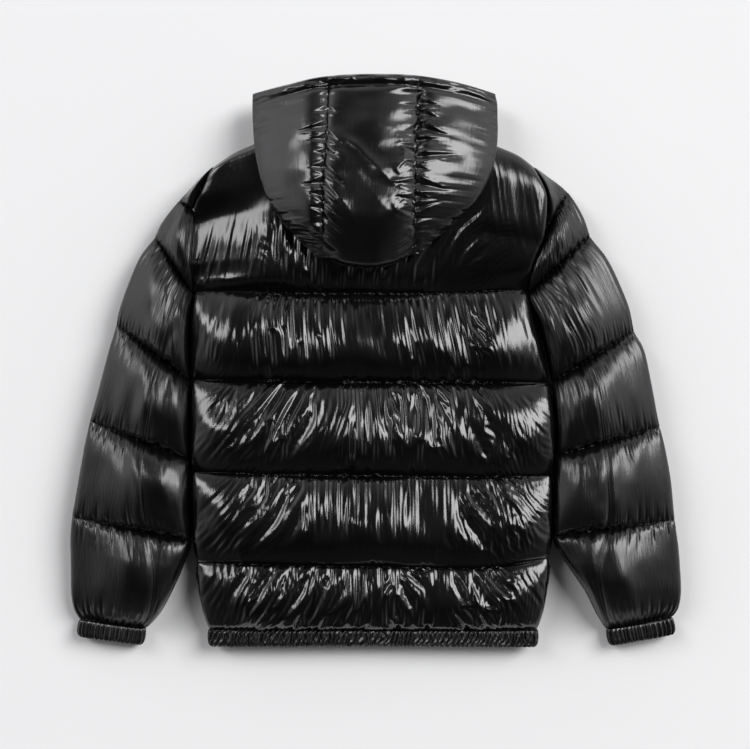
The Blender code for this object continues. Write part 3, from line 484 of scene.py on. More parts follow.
def cloth_uv(X):
    """Position on the cloth in metres, along the rows and down the columns of the grid."""
    u = np.concatenate([np.zeros((X.shape[0], 1)), np.cumsum(length(X[:, 1:] - X[:, :-1]), 1)], 1)
    v = np.concatenate([np.zeros((1, X.shape[1])), np.cumsum(length(X[1:] - X[:-1]), 0)], 0)
    u = u - u[:, [X.shape[1] // 2]]
    return np.stack([u, v], -1)


def row_lines(count, height, loft):
    t = np.linspace(0, 1, 1501)
    return even(t * height, pillow(t) * loft, count)


THREADS = {}


def stitch_line(owner, line, up, rng, pitch=3.4, stitch=2.5, radius=0.28, lift=0.25):
    """Thread stitches along a line of points in mm."""
    seg = np.linalg.norm(np.diff(line, axis=0), axis=1)
    s = np.concatenate([[0], np.cumsum(seg)])
    count = int(s[-1] / pitch)
    at = (np.arange(count) + 0.5) * s[-1] / count
    for a in at:
        p = np.array([np.interp(a - stitch / 2, s, line[:, c]) for c in range(3)])
        q = np.array([np.interp(a + stitch / 2, s, line[:, c]) for c in range(3)])
        THREADS.setdefault(owner, []).append((p + up * lift, q + up * lift, radius))


def build_threads(name, material):
    verts, quads, tris = [], [], []
    for p, q, r in THREADS[name]:
        d = q - p
        d /= max(np.linalg.norm(d), 1e-9)
        a = np.cross(d, (0.0, 0.0, 1.0))
        a /= max(np.linalg.norm(a), 1e-9)
        b = np.cross(a, d)
        base = len(verts)
        for f, rr in ((0.0, 0.45), (0.22, 1.0), (0.78, 1.0), (1.0, 0.45)):
            c = p + (q - p) * f
            for k in range(4):
                an = math.pi / 4 + k * math.pi / 2
                verts.append((c + (a * math.cos(an) + b * math.sin(an)) * r * rr) * MM)
        for ring in range(3):
            for k in range(4):
                i, j = base + ring * 4 + k, base + ring * 4 + (k + 1) % 4
                quads.append((i, j, j + 4, i + 4))
        quads.append((base + 3, base + 2, base + 1, base))
        quads.append((base + 12, base + 13, base + 14, base + 15))
    if signed_volume(verts, [], quads) < 0:
        quads = [q[::-1] for q in quads]
    obj = make_object(name, verts, [], quads)
    obj.data.materials.append(material)
    return obj


# ================================================================ body
def place(obj, node, material):
    obj.data.materials.append(material)
    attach(obj, "jacket")
    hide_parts(node)
    return obj


def body_lines(counts):
    """Lines of the body from the shoulder to the hem: row number and share of the row, which is 0 where a row starts.
    """
    out = []
    top = 300.0
    for r, count in enumerate(counts):
        foot, loft = BODY_ROWS[r]
        t = row_lines(count, top - foot, loft - SEAM_WALL)
        out += [(r, a) for a in t[:-1]]
        top = foot
    out.append((len(counts) - 1, 1.0))
    return np.array([o[0] for o in out]), np.array([o[1] for o in out])


def body_place(rows, t, u):
    """x, y of the body's grid; u is the share of the whole width, from the left edge to the right."""
    R = np.repeat(rows[:, None], len(u), 1)
    T = t[:, None] + 0 * u[None]
    U = u[None] + 0 * T
    key = np.clip(T, 0, 1) * (len(ARMHOLE) - 1)
    table = np.column_stack([np.arange(len(ARMHOLE)), ARMHOLE])
    first = R == 0
    foot = BODY_ROWS[:, 0][R]
    top = np.where(first, 0, BODY_ROWS[:, 0][np.maximum(R - 1, 0)])
    plain_y = top + (foot - top) * T
    notch = 3.0 * (1 - pillow(T))
    left = np.where(first, curve(table, key, 1), curve(BODY_EDGE, plain_y, 1) + notch)
    right = np.where(first, curve(table, key, 3), curve(BODY_EDGE, plain_y, 2) - notch)
    tl = (273.0 - curve(table, key, 2)) / (273.0 - 98.0)
    tr = (273.0 - curve(table, key, 4)) / (273.0 - 98.0)
    x = left + (right - left) * U
    return x, plain_y, R, T, U, first, tl, tr


def seam_offset(R, T, U):
    """How far the quilting seams leave their straight lines at (row, share of row)."""
    dy = np.zeros_like(T)
    for seam in range(4):
        wave_y = curve(SEAM_WAVE, U, seam + 1)
        dy += np.where(R == seam, wave_y * T, 0) + np.where(R == seam + 1, wave_y * (1 - T), 0)
    return dy


def armhole_rest(R, T):
    return np.where(R == 0, EDGE_REST + (ARMHOLE_REST - EDGE_REST) * (1 - step(T, 0.78, 1.0)), EDGE_REST)


def row_across(side):
    """Share of a row's height across the body: level, then an even slope towards each end, then a round drop."""
    a = np.abs(side)
    slope = 1 - (1 - np.clip((1 - a) / ROW_END[0], 0, 1)) ** 1.3 * ROW_END[1]
    return np.maximum(0, 1 - a ** 9) ** (1 / 9) * slope


def yoke_height(t, side, full):
    """The left shoulder is level under its seam, slopes up to near the row's foot, and drops to the quilting."""
    own = SEAM_WALL + SEAM_RISE + (BODY_ROWS[0, 1] - SEAM_WALL - SEAM_RISE) * curve(YOKE_RISE, t)
    return full + (own - full) * step(-side, 0.25, 0.60)


def yoke_skew(side):
    """The top row stands highest near its lower seam on the left, and nearly in its middle on the right."""
    return YOKE_SKEW + (0.68 - YOKE_SKEW) * step(side, 0.10, 0.55)


def build_back(material):
    rng = np.random.default_rng(11)
    counts = (84, 57, 57, 57, 48)
    rows, t = body_lines(counts)
    f = np.linspace(0, 1, 3001)
    u = even(f * 508, row_across(2 * f - 1) * 40, 300)
    x, plain_y, R, T, U, first, tl, tr = body_place(rows, t, u)
    top_y = curve(SHOULDER, -223.0 + 443.0 * U)
    y = np.where(first, top_y + (98.0 - top_y) * (tl + (tr - tl) * U), plain_y) + seam_offset(R, T, U)
    rest = armhole_rest(R, T)
    side = 2 * U - 1
    ramp = np.clip((1 - np.abs(side)) / (1 - YOKE_RAMP), 0, 1)
    level = fold(U, np.where(side < 0, 6.0, 11.0))
    yoke = np.where(side < 0, level + (1 - (1 - ramp) ** 1.25 - level) * step(T, 0.30, 0.50), level)
    own = row_across(side)
    own = own + (yoke - own) * first * (1 - step(T, 0.80, 1.0))
    share = rest + (1 - rest) * own
    loft = BODY_ROWS[:, 1][R]
    uneven = 1 + 0.06 * noise(T.shape, (11, 7), rng, 2) * pillow(T)
    hem = SEAM_RISE * (1 - step(T, 0.5, 1.0) * (R == 4))
    foot = 0.62 - 0.30 * step(T, 0.60, 1.0) * (R == 4)
    skew = np.where(first, yoke_skew(side), 1.35)
    full = quilted(T, SEAM_WALL, loft, hem, foot, skew)
    full = np.where(first, yoke_height(T, side, full), full)
    height = np.maximum(1.0, share * uneven * full)
    base = lin(MID_LINE, y) + GAP / 2
    P = np.stack([x, y, base + height], -1)
    inner = np.stack([x, y, base], -1)
    seam_rows = np.flatnonzero(t == 0.0)
    w = np.ones(T.shape, np.float32)
    w[seam_rows] = 0
    w[0] = w[-1] = 0
    w[:, 0] = w[:, -1] = 0
    # sewn rows pucker a little
    for i in seam_rows[1:]:
        dy, dz = wave(len(u), 60, rng) * 0.5, wave(len(u), 70, rng) * 0.5
        for off in range(-4, 5):
            k = (1 - abs(off) / 5) ** 1.5
            P[i + off, 2:-2, 1] += (0.3 * dy * k)[2:-2]
            P[i + off, 2:-2, 2] += (0.6 * dz * k)[2:-2]
    near = np.exp(-np.minimum(T, 1 - T) / 0.08)
    patch = np.clip(np.array([0.9, 1.0, 1.05, 1.0, 1.0])[R] + 0.40 * noise(T.shape, (10, 14), rng, 2), 0.15, 1.8)
    for px, py, rx, ry, share in BACK_PATCHES:
        patch *= 1 + (share - 1) * np.exp(-(((x - px) / rx) ** 2 + ((y - py) / ry) ** 2) ** 1.5)
    late = 1 - step(side, 0.1, 0.4)
    lively = 0.18 + (0.82 - 0.62 * (1 - late)) * step(T, 0.55 * late - 0.1, 0.2 + 0.45 * late)
    lively = lively + 0.30 * np.clip(noise(T.shape, (20, 12), np.random.default_rng(12), 2), 0, 1.5) * late * step(T, 0.25, 0.45)
    lively = lively * (1 - 0.9 * step(-side, 0.58, 0.80) * (1 - step(T, 0.55, 0.75)))
    patch = np.where(first, patch * lively, patch)
    E = (0.056 * patch + 0.020 * near) * (1 - 0.65 * step(np.abs(side), 0.74, 0.92))
    E = E + 0.08 * np.exp(-(1 - T) / 0.10) * (R == 4)
    lean = np.array([0.60, -0.22, -0.72, -0.76, -0.55])[R]
    phi = (lean * np.sign(side) * np.abs(side) ** 0.65 + 0.22 * noise(T.shape, (10, 14), rng, 1)
           + 0.30 * noise(T.shape, (24, 40), rng, 1))
    X = crinkle(P * MM, w, E, phi, rng, stiff=1 + 9 * near + 1.6 * step(np.abs(side), 0.4, 0.9), coarse=0.7 - 0.4 * step(np.abs(side), 0.5, 0.9),
                iters=(130, 180), pad=(0.0055, 0.012), bend=(0.0015, 0.003), cells=((24, 60), (40, 150)), shear=0.9)
    # short pulled creases at the ends of the rows and on the shoulders
    middle = np.where(first, 170.0, (BODY_ROWS[:, 0][np.maximum(R - 1, 0)] + BODY_ROWS[:, 0][R]) / 2)
    turn = -lean * np.sign(side) * np.abs(side) ** 0.65
    pulled = streaks(x - 170.0 * np.sign(side), plain_y - middle, turn, 4.2, 30.0, np.random.default_rng(13))
    ends = np.where(R == 1, 0.36, 0.48) * step(np.abs(side), 0.58, 0.80) * step(T, 0.05, 0.2) * (1 - step(T, 0.8, 0.95))
    left = step(-side, 0.30, 0.50) * step(T, 0.36, 0.52) * (1 - step(T, 0.88, 0.97)) * (0.14 + 0.42 * step(T, 0.50, 0.72))
    right = 0.10 * step(side, 0.35, 0.55) * step(T, 0.04, 0.15) * (1 - step(T, 0.50, 0.80))
    X[..., 2] += MM * pulled * np.where(first, left + right, ends) * (1 - step(np.abs(side), 0.985, 1.0))
    for n, i in enumerate(seam_rows[1:]):
        stitch_line("thread_body", X[i, 6:-6].astype(float) / MM, np.array((0, 0, 1.0)), rng)
    return place(closed("back", X, inner * MM, 6, cloth_uv(P * MM)), "back_panel", material)


def front_neck(x):
    return np.where(np.abs(x) < 106.0, curve(FRONT_NECK, np.abs(x)), curve(SHOULDER, x))


def build_front(name, side, material):
    rng = np.random.default_rng(21 + side)
    rows, t = body_lines((48, 33, 33, 33, 27))
    f0 = np.linspace(0, 1, 2001)
    f = even(f0 * 245, fold(f0 / 2, BODY_ROUND) * 45, 84)
    u = f / 2 if side < 0 else 1 - f / 2
    half_x, plain_y, R, T, U, first, tl, tr = body_place(rows, t, np.array([0.0, 1.0]))
    centre = side * CENTRE_EDGE
    edge = half_x[:, [0 if side < 0 else 1]]
    width = centre - edge
    F = f[None] + 0 * edge
    x = edge + F * width
    tl, tr = tl[:, :1], tr[:, :1]
    R = np.repeat(rows[:, None], F.shape[1], 1)
    T = t[:, None] + 0 * F
    U = u[None] + 0 * F
    first = R == 0
    plain_y = plain_y[:, :1] + 0 * F
    top_edge = -223.0 if side < 0 else 220.0
    top_y = front_neck(top_edge + (centre - top_edge) * F)
    y = np.where(first, top_y + (98.0 - top_y) * (tl + (tr - tl) * U), plain_y) + seam_offset(R, T, U)
    rest = armhole_rest(R, T)
    share = (rest + (1 - rest) * fold(F / 2, BODY_ROUND)) * lin(FRONT_CENTRE, np.abs(x - centre))
    base = lin(MID_LINE, y) - GAP / 2
    uneven = 1 + 0.05 * noise(T.shape, (9, 5), rng, 2)
    height = np.maximum(1.0, share * (FRONT_WALL + (FRONT_LOFT - FRONT_WALL) * pillow(T) * uneven))
    P = np.stack([x, y, np.maximum(0.0, base - height)], -1)
    lowered = 1.7 * (np.abs(x - centre) < 13.0)
    inner = np.stack([x, y, base - lowered], -1)
    w = np.ones(T.shape, np.float32)
    w[t == 0.0] = 0
    w[0] = w[-1] = 0
    w[:, 0] = w[:, -1] = 0
    near = np.exp(-np.minimum(T, 1 - T) / 0.10)
    E = (0.06 + 0.04 * near) * np.clip(0.9 + 0.4 * noise(T.shape, (9, 6), rng, 2), 0.05, 1.8)
    phi = 0.25 * noise(T.shape, (9, 6), rng, 1)
    X = crinkle(P * MM, w, E, phi, rng, iters=(80, 100), cells=((10, 22), (10, 60)), floor=0.0)
    return place(closed(name, X, inner * MM, 6, cloth_uv(P * MM)), name, material)


def build_collar(name, side, material):
    rng = np.random.default_rng(31 + side)
    centre, edge = side * CENTRE_EDGE, side * 158.0
    f0 = np.linspace(0, 1, 2001)
    f = even(f0 * 152, fold(f0 / 2, 4.0) * 40, 60)
    v = np.concatenate([row_lines(21, 60, 45)[:-1] * 0.5, 0.5 + 0.5 * row_lines(21, 60, 45)])
    F, V = f[None] + 0 * v[:, None], v[:, None] + 0 * f[None]
    x = edge + (centre - edge) * F
    slope = np.abs(np.gradient(front_neck(x[0]), x[0]))
    slope = np.maximum.reduce([np.interp(f, f, slope), np.roll(slope, 1), np.roll(slope, -1)])
    foot = front_neck(x) + np.where(F > 0.27, 0.6 * np.hypot(1, slope)[None], 3.0)
    y = foot + (curve(COLLAR_TOP, x) - foot) * V
    T = np.where(V < 1, (2 * V) % 1, 1.0)
    share = np.where(F < 0.5, EDGE_REST + (1 - EDGE_REST) * fold(F / 2, 4.0), 1.0) * lin(FRONT_CENTRE, np.abs(x - centre))
    base = MID - GAP / 2
    height = np.maximum(1.0, share * (FRONT_WALL + (FRONT_LOFT - FRONT_WALL) * pillow(T)))
    P = np.stack([x, y, np.maximum(0.0, base - height)], -1)
    inner = np.stack([x, y, base - 1.7 * (np.abs(x - centre) < 13.0)], -1)
    w = np.ones(T.shape, np.float32)
    w[0] = w[21] = w[-1] = 0
    w[:, 0] = w[:, -1] = 0
    E = 0.06 + 0.04 * np.exp(-np.minimum(T, 1 - T) / 0.1)
    X = crinkle(P * MM, w, E, 0.2 * noise(T.shape, (4, 5), rng, 1), rng, iters=(60, 80), cells=((5, 14), (5, 40)), floor=0.0)
    return place(closed(name, X, inner * MM, 6, cloth_uv(P * MM)), name, material)


# ================================================================ sleeves
def sleeve_lines(table, counts, first):
    """Fractional section numbers, shares of the quilted row, and whether a line is a seam."""
    mids = (table[:, 0:2] + table[:, 2:4]) / 2
    s, t, seam = [], [], []
    marks = SLEEVE_SEAMS[first:]
    for (a, b), count in zip(zip(marks, marks[1:]), counts[first:]):
        cum = np.concatenate([[0], np.cumsum(np.hypot(*np.diff(mids[a:b + 1], axis=0).T))])
        tt = row_lines(count, cum[-1], 30.0)
        s += list(np.interp(tt[:-1] * cum[-1], cum, np.arange(a, b + 1)))
        t += list(tt[:-1])
        seam += [True] + [False] * (count - 1)
    return np.array(s + [19.0]), np.array(t + [1.0]), np.array(seam + [True])


def sleeve_face(table, s, t, w, up, uneven):
    numbered = np.column_stack([np.arange(len(table)), table])
    S = s[:, None] + 0 * w
    ox, oy, ix, iy, loft, elbow = (curve(numbered, S, c) for c in range(1, 7))
    width = np.hypot(ix - ox, iy - oy)
    mid = np.where(S < 15, 40.0, 40.0 + (20.0 - 40.0) * (S - 15) / 4.0)
    crown = pillow(t)[:, None] + 0 * w
    height = quilted(t, 10.0, 46.0, 3.0, SLEEVE_POWER, 1.1)[:, None] / 46.0 * loft * (1 + (uneven - 1) * crown)
    drop = 12.0 + 44.0 * crown
    armhole = EDGE_REST + (ARMHOLE_REST - EDGE_REST) * (1 - step(S, 4.0, 5.0))
    rest = np.where(w > 0.5, armhole, 0.0)
    across = sleeve_fold(w)
    cap = (1 - step(S, 2.0, 6.0)) * (w > 0.5)
    across = across + (np.minimum(across, fold(w, 2.0)) - across) * cap
    z = np.where(up, mid + (rest + (1 - rest) * across) * height,
                 np.maximum(0.0, mid - (rest + (1 - rest) * fold(w, SLEEVE_ROUND)) * drop))
    outer = np.stack([ox + (ix - ox) * w, oy + (iy - oy) * w, z], -1)
    inset = np.minimum(12.0 / width, 0.3)
    v = inset + w * (1 - 2 * inset)
    inner = np.stack([ox + (ix - ox) * v, oy + (iy - oy) * v, mid + np.where(up, 0.4, -0.4)], -1)
    return outer, inner, elbow, width


def sleeve_spare(side, s):
    """Spare cloth between the seams, more at the shoulder and on the right arm."""
    if side == "left":
        return np.interp(s, (0, 2, 4.5, 7, 12, 19), (0.03, 0.07, 0.07, 0.020, 0.006, 0.006))
    return np.interp(s, (0, 2, 5, 9, 12, 15, 19), (0.04, 0.08, 0.085, 0.06, 0.012, 0.006, 0.006))


def build_sleeve(name, node, table, top_piece, seed, material):
    side = "left" if "left" in name else "right"
    rng = np.random.default_rng(seed)
    first = 0 if top_piece else 1
    s, t, seam = sleeve_lines(table, (15, 36, 54, 45, 45, 57), first)
    numbered = np.column_stack([np.arange(len(table)), table])
    elbow = curve(numbered, s, 6)[:, None]
    width = np.hypot(curve(numbered, s, 3) - curve(numbered, s, 1), curve(numbered, s, 4) - curve(numbered, s, 2))[:, None]
    gap = 0.5 * GAP / width
    q = np.linspace(0, 1, 2001)
    if top_piece:
        fu = even(q * 0.62 * 125, sleeve_fold(q * 0.62) * 36, 90)
        fd = even(q * 0.75 * 125, fold(q * 0.75, SLEEVE_ROUND) * 40, 54)
        w = np.concatenate([(elbow - gap) * fu[::-1][None], (FRONT_SEAM - gap) * fd[1:][None]], 1)
        up = np.arange(w.shape[1]) <= 90
        seam_w = elbow
    else:
        fu = even(q * 0.38 * 125, sleeve_fold(0.62 + q * 0.38) * 36, 48)
        fd = even(q * 0.25 * 125, fold(0.75 + q * 0.25, SLEEVE_ROUND) * 40, 17)
        start = elbow + gap
        low = FRONT_SEAM + gap
        w = np.concatenate([start + (1 - start) * fu[None], low + (1 - low) * fd[::-1][None]], 1)
        up = np.arange(w.shape[1]) <= 48
    uneven = 1 + 0.06 * noise(w.shape, (12, 4), rng, 2)
    up2 = up[None] & np.ones(w.shape, bool)
    P, inner, _, _ = sleeve_face(table, s, t, w, up2, uneven)
    if top_piece:       # the outer fold is round
        for _ in range(12):
            P[:, 82:99] += 0.5 * (0.5 * (P[:, 81:98] + P[:, 83:100]) - P[:, 82:99])
    # the seam along the elbow is pulled in a little
    inward = np.abs(w - elbow) * width
    from_row = 15.0 if side == "left" else 12.0
    groove = 0.6 + 2.6 * step(s, from_row, from_row + 0.6)
    P[..., 2] -= np.where(up2, (groove * step(s, 2.5, 5.0))[:, None] * np.exp(-inward / 5.0), 0)
    pin = np.ones(w.shape, np.float32)
    pin[seam] = 0
    pin[0] = pin[-1] = 0
    pin[:, 0] = pin[:, -1] = 0
    near = np.exp(-np.minimum(t, 1 - t) / 0.08)[:, None]
    low_share = np.where(up, 1.0, 0.6)[None]
    calm = np.clip(0.8 + 0.5 * noise(w.shape, (14, 5), rng, 2), 0.03, 1.8)
    inner_side = np.where(up, 0.12 + 0.88 * step(w, 0.34, 0.55), 1.0)
    gathers = np.exp(-(19.0 - s) / 0.45)[:, None]
    E = (sleeve_spare(side, s)[:, None] * calm * inner_side + 0.12 * near + 0.10 * gathers) * low_share
    phi = 0.28 * noise(w.shape, (14, 5), rng, 1)
    for i in np.flatnonzero(seam)[1:-1]:
        dz = wave(w.shape[1], 34, rng) * 1.1
        for off in range(-3, 4):
            P[i + off, 2:-2, 2] += (dz * (1 - abs(off) / 4))[2:-2] * up[2:-2]
    X = crinkle(P * MM, pin, E, phi, rng, stiff=1 + 8 * near, coarse=0.8, iters=(110, 150), pad=(0.003, 0.005),
                cells=((14, 20), (14, 60)), floor=0.0)
    marks = np.flatnonzero(seam)[1:-1] if top_piece else np.flatnonzero(seam)[:-1]
    for i in marks:
        line = X[i, :91] if top_piece else X[i, :49]
        if top_piece or i > 0:
            stitch_line("thread_sleeves", line[3:-3].astype(float) / MM, np.array((0, 0, 1.0)), rng)
    return place(closed(name, X, inner * MM, 6, cloth_uv(P * MM)), node, material)


def build_cuff(name, node, table, seed, material):
    rng = np.random.default_rng(seed)
    ox, oy, ix, iy = table[-1][:4]
    px, py, qx, qy = table[-2][:4]
    nx, ny = -(iy - oy), ix - ox
    size = math.hypot(nx, ny)
    nx, ny = nx / size, ny / size
    if nx * (ox + ix - px - qx) + ny * (oy + iy - py - qy) < 0:
        nx, ny = -nx, -ny
    half = size / 2
    cx, cy = (ox + ix) / 2, (oy + iy) / 2
    ux, uy = (ix - ox) / size, (iy - oy) / size
    prof = np.array([(0.6, 1.4, 12.0), (2.0, 0.2, 14.2), (5.0, -0.6, 15.0), (12.0, -1.2, 15.2), (19.0, -0.6, 15.0),
                     (22.5, 1.0, 14.0), (25.0, 3.6, 12.0)])
    dist = np.concatenate([np.linspace(0.6, 4, 4)[:-1], np.linspace(4, 21, 10)[:-1], np.linspace(21, 25, 4)])
    cols = 528
    # evenly round the flattened ring
    a = np.linspace(0, 2 * np.pi, 4001)
    rx = np.copysign(np.abs(np.cos(a)) ** 0.7, np.cos(a)) * half
    rz = np.copysign(np.abs(np.sin(a)) ** 0.7, np.sin(a)) * 15
    ang = even(rx, rz, cols)[:-1] * 2 * np.pi
    c, sn = np.cos(ang), np.sin(ang)
    wdt, hgt = np.copysign(np.abs(c) ** 0.7, c), np.copysign(np.abs(sn) ** 0.7, sn)
    ribs = rib_field(cols, 37, rng, ring=True)
    outer, inner = [], []
    for d in dist:
        narrow, b = np.interp(d, prof[:, 0], prof[:, 1]), np.interp(d, prof[:, 0], prof[:, 2])
        k = 2.6 * (0.6 + 0.4 * math.sin(math.pi * min(1, d / 24)))
        shrink = narrow + k * (1 - ribs)
        hh = b - k * (1 - ribs)
        dd = d + 0.5 * (ribs - 0.5) * (1 if d > 12 else -1) * (abs(d - 12) / 12) ** 2
        x, y = cx + nx * dd, cy + ny * dd
        outer.append(np.stack([x + ux * wdt * (half - shrink), y + uy * wdt * (half - shrink),
                               np.maximum(0.6, 18.0 + hgt * hh)], -1))
        x, y = cx + nx * d, cy + ny * d
        inner.append(np.stack([x + ux * wdt * (half - narrow - CUFF_WALL), y + uy * wdt * (half - narrow - CUFF_WALL),
                               18.0 + 0.5 * hgt + 0 * x], -1))
    return ring_piece(name, node, np.array(outer), np.array(inner), material)


def rib_field(cols, count, rng, ring=False, slant=0.0):
    """0 in the grooves and 1 on the ribs of gathered elastic, unevenly spaced."""
    gaps = 1 + 0.22 * rng.standard_normal(count)
    gaps = np.clip(gaps, 0.5, 1.6)
    at = np.concatenate([[0], np.cumsum(gaps)])
    phase = np.interp(np.linspace(0, at[-1], cols + (1 if ring else 0)), at, np.arange(count + 1))
    phase = phase[:cols] + slant
    depth = 0.8 + 0.2 * np.interp(phase, np.arange(count + 1), rng.standard_normal(count + 1)).clip(-1, 1)
    if ring:
        depth[-6:] = np.linspace(depth[-6], depth[0], 6)
    return 1 - depth * (1 - np.abs(np.sin(np.pi * phase)) ** 1.3)


def ring_piece(name, node, outer, inner, material):
    rows, cols = outer.shape[:2]
    verts = np.concatenate([outer.reshape(-1, 3), inner.reshape(-1, 3)]) * MM
    quads = []
    n = rows * cols
    i = np.arange(rows - 1)[:, None] * cols
    j = np.arange(cols)[None]
    k = (j + 1) % cols
    quads.append(np.stack([i + j, i + cols + j, i + cols + k, i + k], -1).reshape(-1, 4))
    quads.append(quads[0][:, ::-1] + n)
    j, k = j[0], k[0]
    quads.append(np.stack([j, k, k + n, j + n], -1))
    last = (rows - 1) * cols
    quads.append(np.stack([last + k, last + j, last + j + n, last + k + n], -1))
    quads = np.concatenate(quads)
    if signed_volume(verts, [], quads) < 0:
        quads = quads[:, ::-1]
    flat = np.stack(np.meshgrid(np.arange(cols) / cols * 0.19, np.linspace(0, 0.02, rows)), -1).reshape(-1, 2)
    obj = make_object(name, verts, [], quads, np.concatenate([flat, flat]))
    place(obj, node, material)
    return obj


def build_hem(material):
    rng = np.random.default_rng(51)
    dist = np.concatenate([np.linspace(0.6, 4, 5)[:-1], np.linspace(4, 20, 12)[:-1], np.linspace(20, 25, 6)])
    prof = np.array([(0.6, 2.4, 8.5), (2.5, 0.6, 11.6), (6.0, 0.0, 12.5), (14.0, 0.0, 12.5), (19.0, 0.5, 12.3),
                     (22.5, 2.0, 11.4), (25.0, 5.0, 9.0)])
    back, front = 1100, 240
    cols = back + 2 * front
    ends = curve(np.array([(0.0, -1.0), (0.25, 0.0), (0.5, -1.0), (0.75, 0.3), (1.0, 1.0)]), np.linspace(0, 1, cols + 1))
    lean = np.cumsum(0.05 * rng.standard_normal((len(dist), 1)) + 0.08, 0) + 0.25 * noise((len(dist), cols + 1), (3, 60), rng, 2)
    outer, inner = [], []
    for n, d in enumerate(dist):
        ribs = rib_field(cols + 1, 103, np.random.default_rng(52), slant=0.7 * lean[n])
        narrow, b = np.interp(d, prof[:, 0], prof[:, 1]), np.interp(d, prof[:, 0], prof[:, 2])
        left, right = -234.0 + narrow, 230.0 - narrow
        a = np.linspace(0, 1, front + 1)
        q = np.linspace(0, 1, 3001)
        ub = even(q * 464, fold(q, 8.0) * b, back)
        x = np.concatenate([-CENTRE_EDGE + (left + CENTRE_EDGE) * a[:-1], left + (right - left) * ub,
                            (right + (CENTRE_EDGE - right) * a)[1:]])
        sign = np.concatenate([-np.ones(front), np.ones(back + 1), -np.ones(front)])
        sign[front], sign[front + back] = 0, 0
        share = np.maximum(0.35, fold(np.clip((x - left) / (right - left), 0, 1), 8.0))
        k = 3.0 * (0.6 + 0.4 * math.sin(math.pi * min(1, d / 25)))
        z = 27.0 + sign * (share * b - k * (1 - ribs))
        edge = (abs(d - 12.5) / 12.5) ** 2
        y = -373.0 - d - 0.7 * (ribs - 0.5) * edge * (1 if d > 12 else -1)
        y = y - 0.9 * ends * edge * (d > 12)
        outer.append(np.stack([x, y, z], -1))
        v = left + 9.0 + (x - left) / (right - left) * (right - left - 18.0)
        v = np.where((sign < 0) & (np.abs(x) <= CENTRE_EDGE + 0.01), x, v)
        lift = np.where((sign < 0) & (np.abs(x) < 16.0), -1.8, 0.4 * sign)
        inner.append(np.stack([v, -373.0 - d + 0 * x, 27.0 + lift], -1))
    outer, inner = np.array(outer), np.array(inner)
    uv = np.stack(np.meshgrid(np.arange(cols + 1) * 0.0006, dist * MM), -1)
    obj = closed("hem", outer * MM, inner * MM, 4, uv)
    return place(obj, "hem_band", material)


# ================================================================ hood
def hood_outline():
    left = [(float(curve(HOOD_PLAN, y, 1)), y) for y in (430.0, *np.linspace(395, 150, 36))]
    low = [(x, float(curve(HOOD_ENDS, x, 2))) for x in np.linspace(-70, 50, 13)]
    right = [(float(curve(HOOD_PLAN, y, 4)), y) for y in (*np.linspace(150, 395, 36), 430.0)]
    return left + low + right


def distance_in(x, y, outline):
    best = np.full(x.shape, 1e9)
    for (ax, ay), (bx, by) in zip(outline, outline[1:]):
        dx, dy = bx - ax, by - ay
        f = np.clip(((x - ax) * dx + (y - ay) * dy) / (dx * dx + dy * dy), 0, 1)
        best = np.minimum(best, np.hypot(x - ax - f * dx, y - ay - f * dy))
    return best


def rounding(distance, reach, power=2.3):
    f = 1 - np.minimum(distance, reach) / reach
    return np.maximum(0.0, 1 - f ** power) ** (1 / power)


def hood_full(x, y):
    """Share of its full height that the hood reaches at x, y."""
    le, re = curve(HOOD_PLAN, y, 1), curve(HOOD_PLAN, y, 4)
    left = np.clip((x - le) / np.maximum(HOOD_TOP[0] - le, 38.0), 0, 1)
    right = np.clip((re - x) / (re - HOOD_TOP[1]), 0, 1)
    out = np.clip((1 - left) ** 3 + (1 - right) ** 3, 0, 1) ** (1 / 3)
    up = np.clip((y - curve(HOOD_ENDS, x, 2)) / 75.0, 0, 1)
    return rounding(1 - out, 1.0, HOOD_SLOPE + 0.2 * (x > 0)) * rounding(up, 1.0, 1.7)


def back_height(x, y):
    top = lin(SHOULDER, x)
    t = np.clip((top - y) / (top - 98.0), 0, 1)
    full = SEAM_WALL + (46.0 - SEAM_WALL) * pillow(t ** yoke_skew(x / 215.0))
    return MID + GAP / 2 + yoke_height(t, x / 215.0, full)


CHANNEL = 16.0       # from the hood's mouth to the stitching of its channel
CHANNEL_ROWS = 12


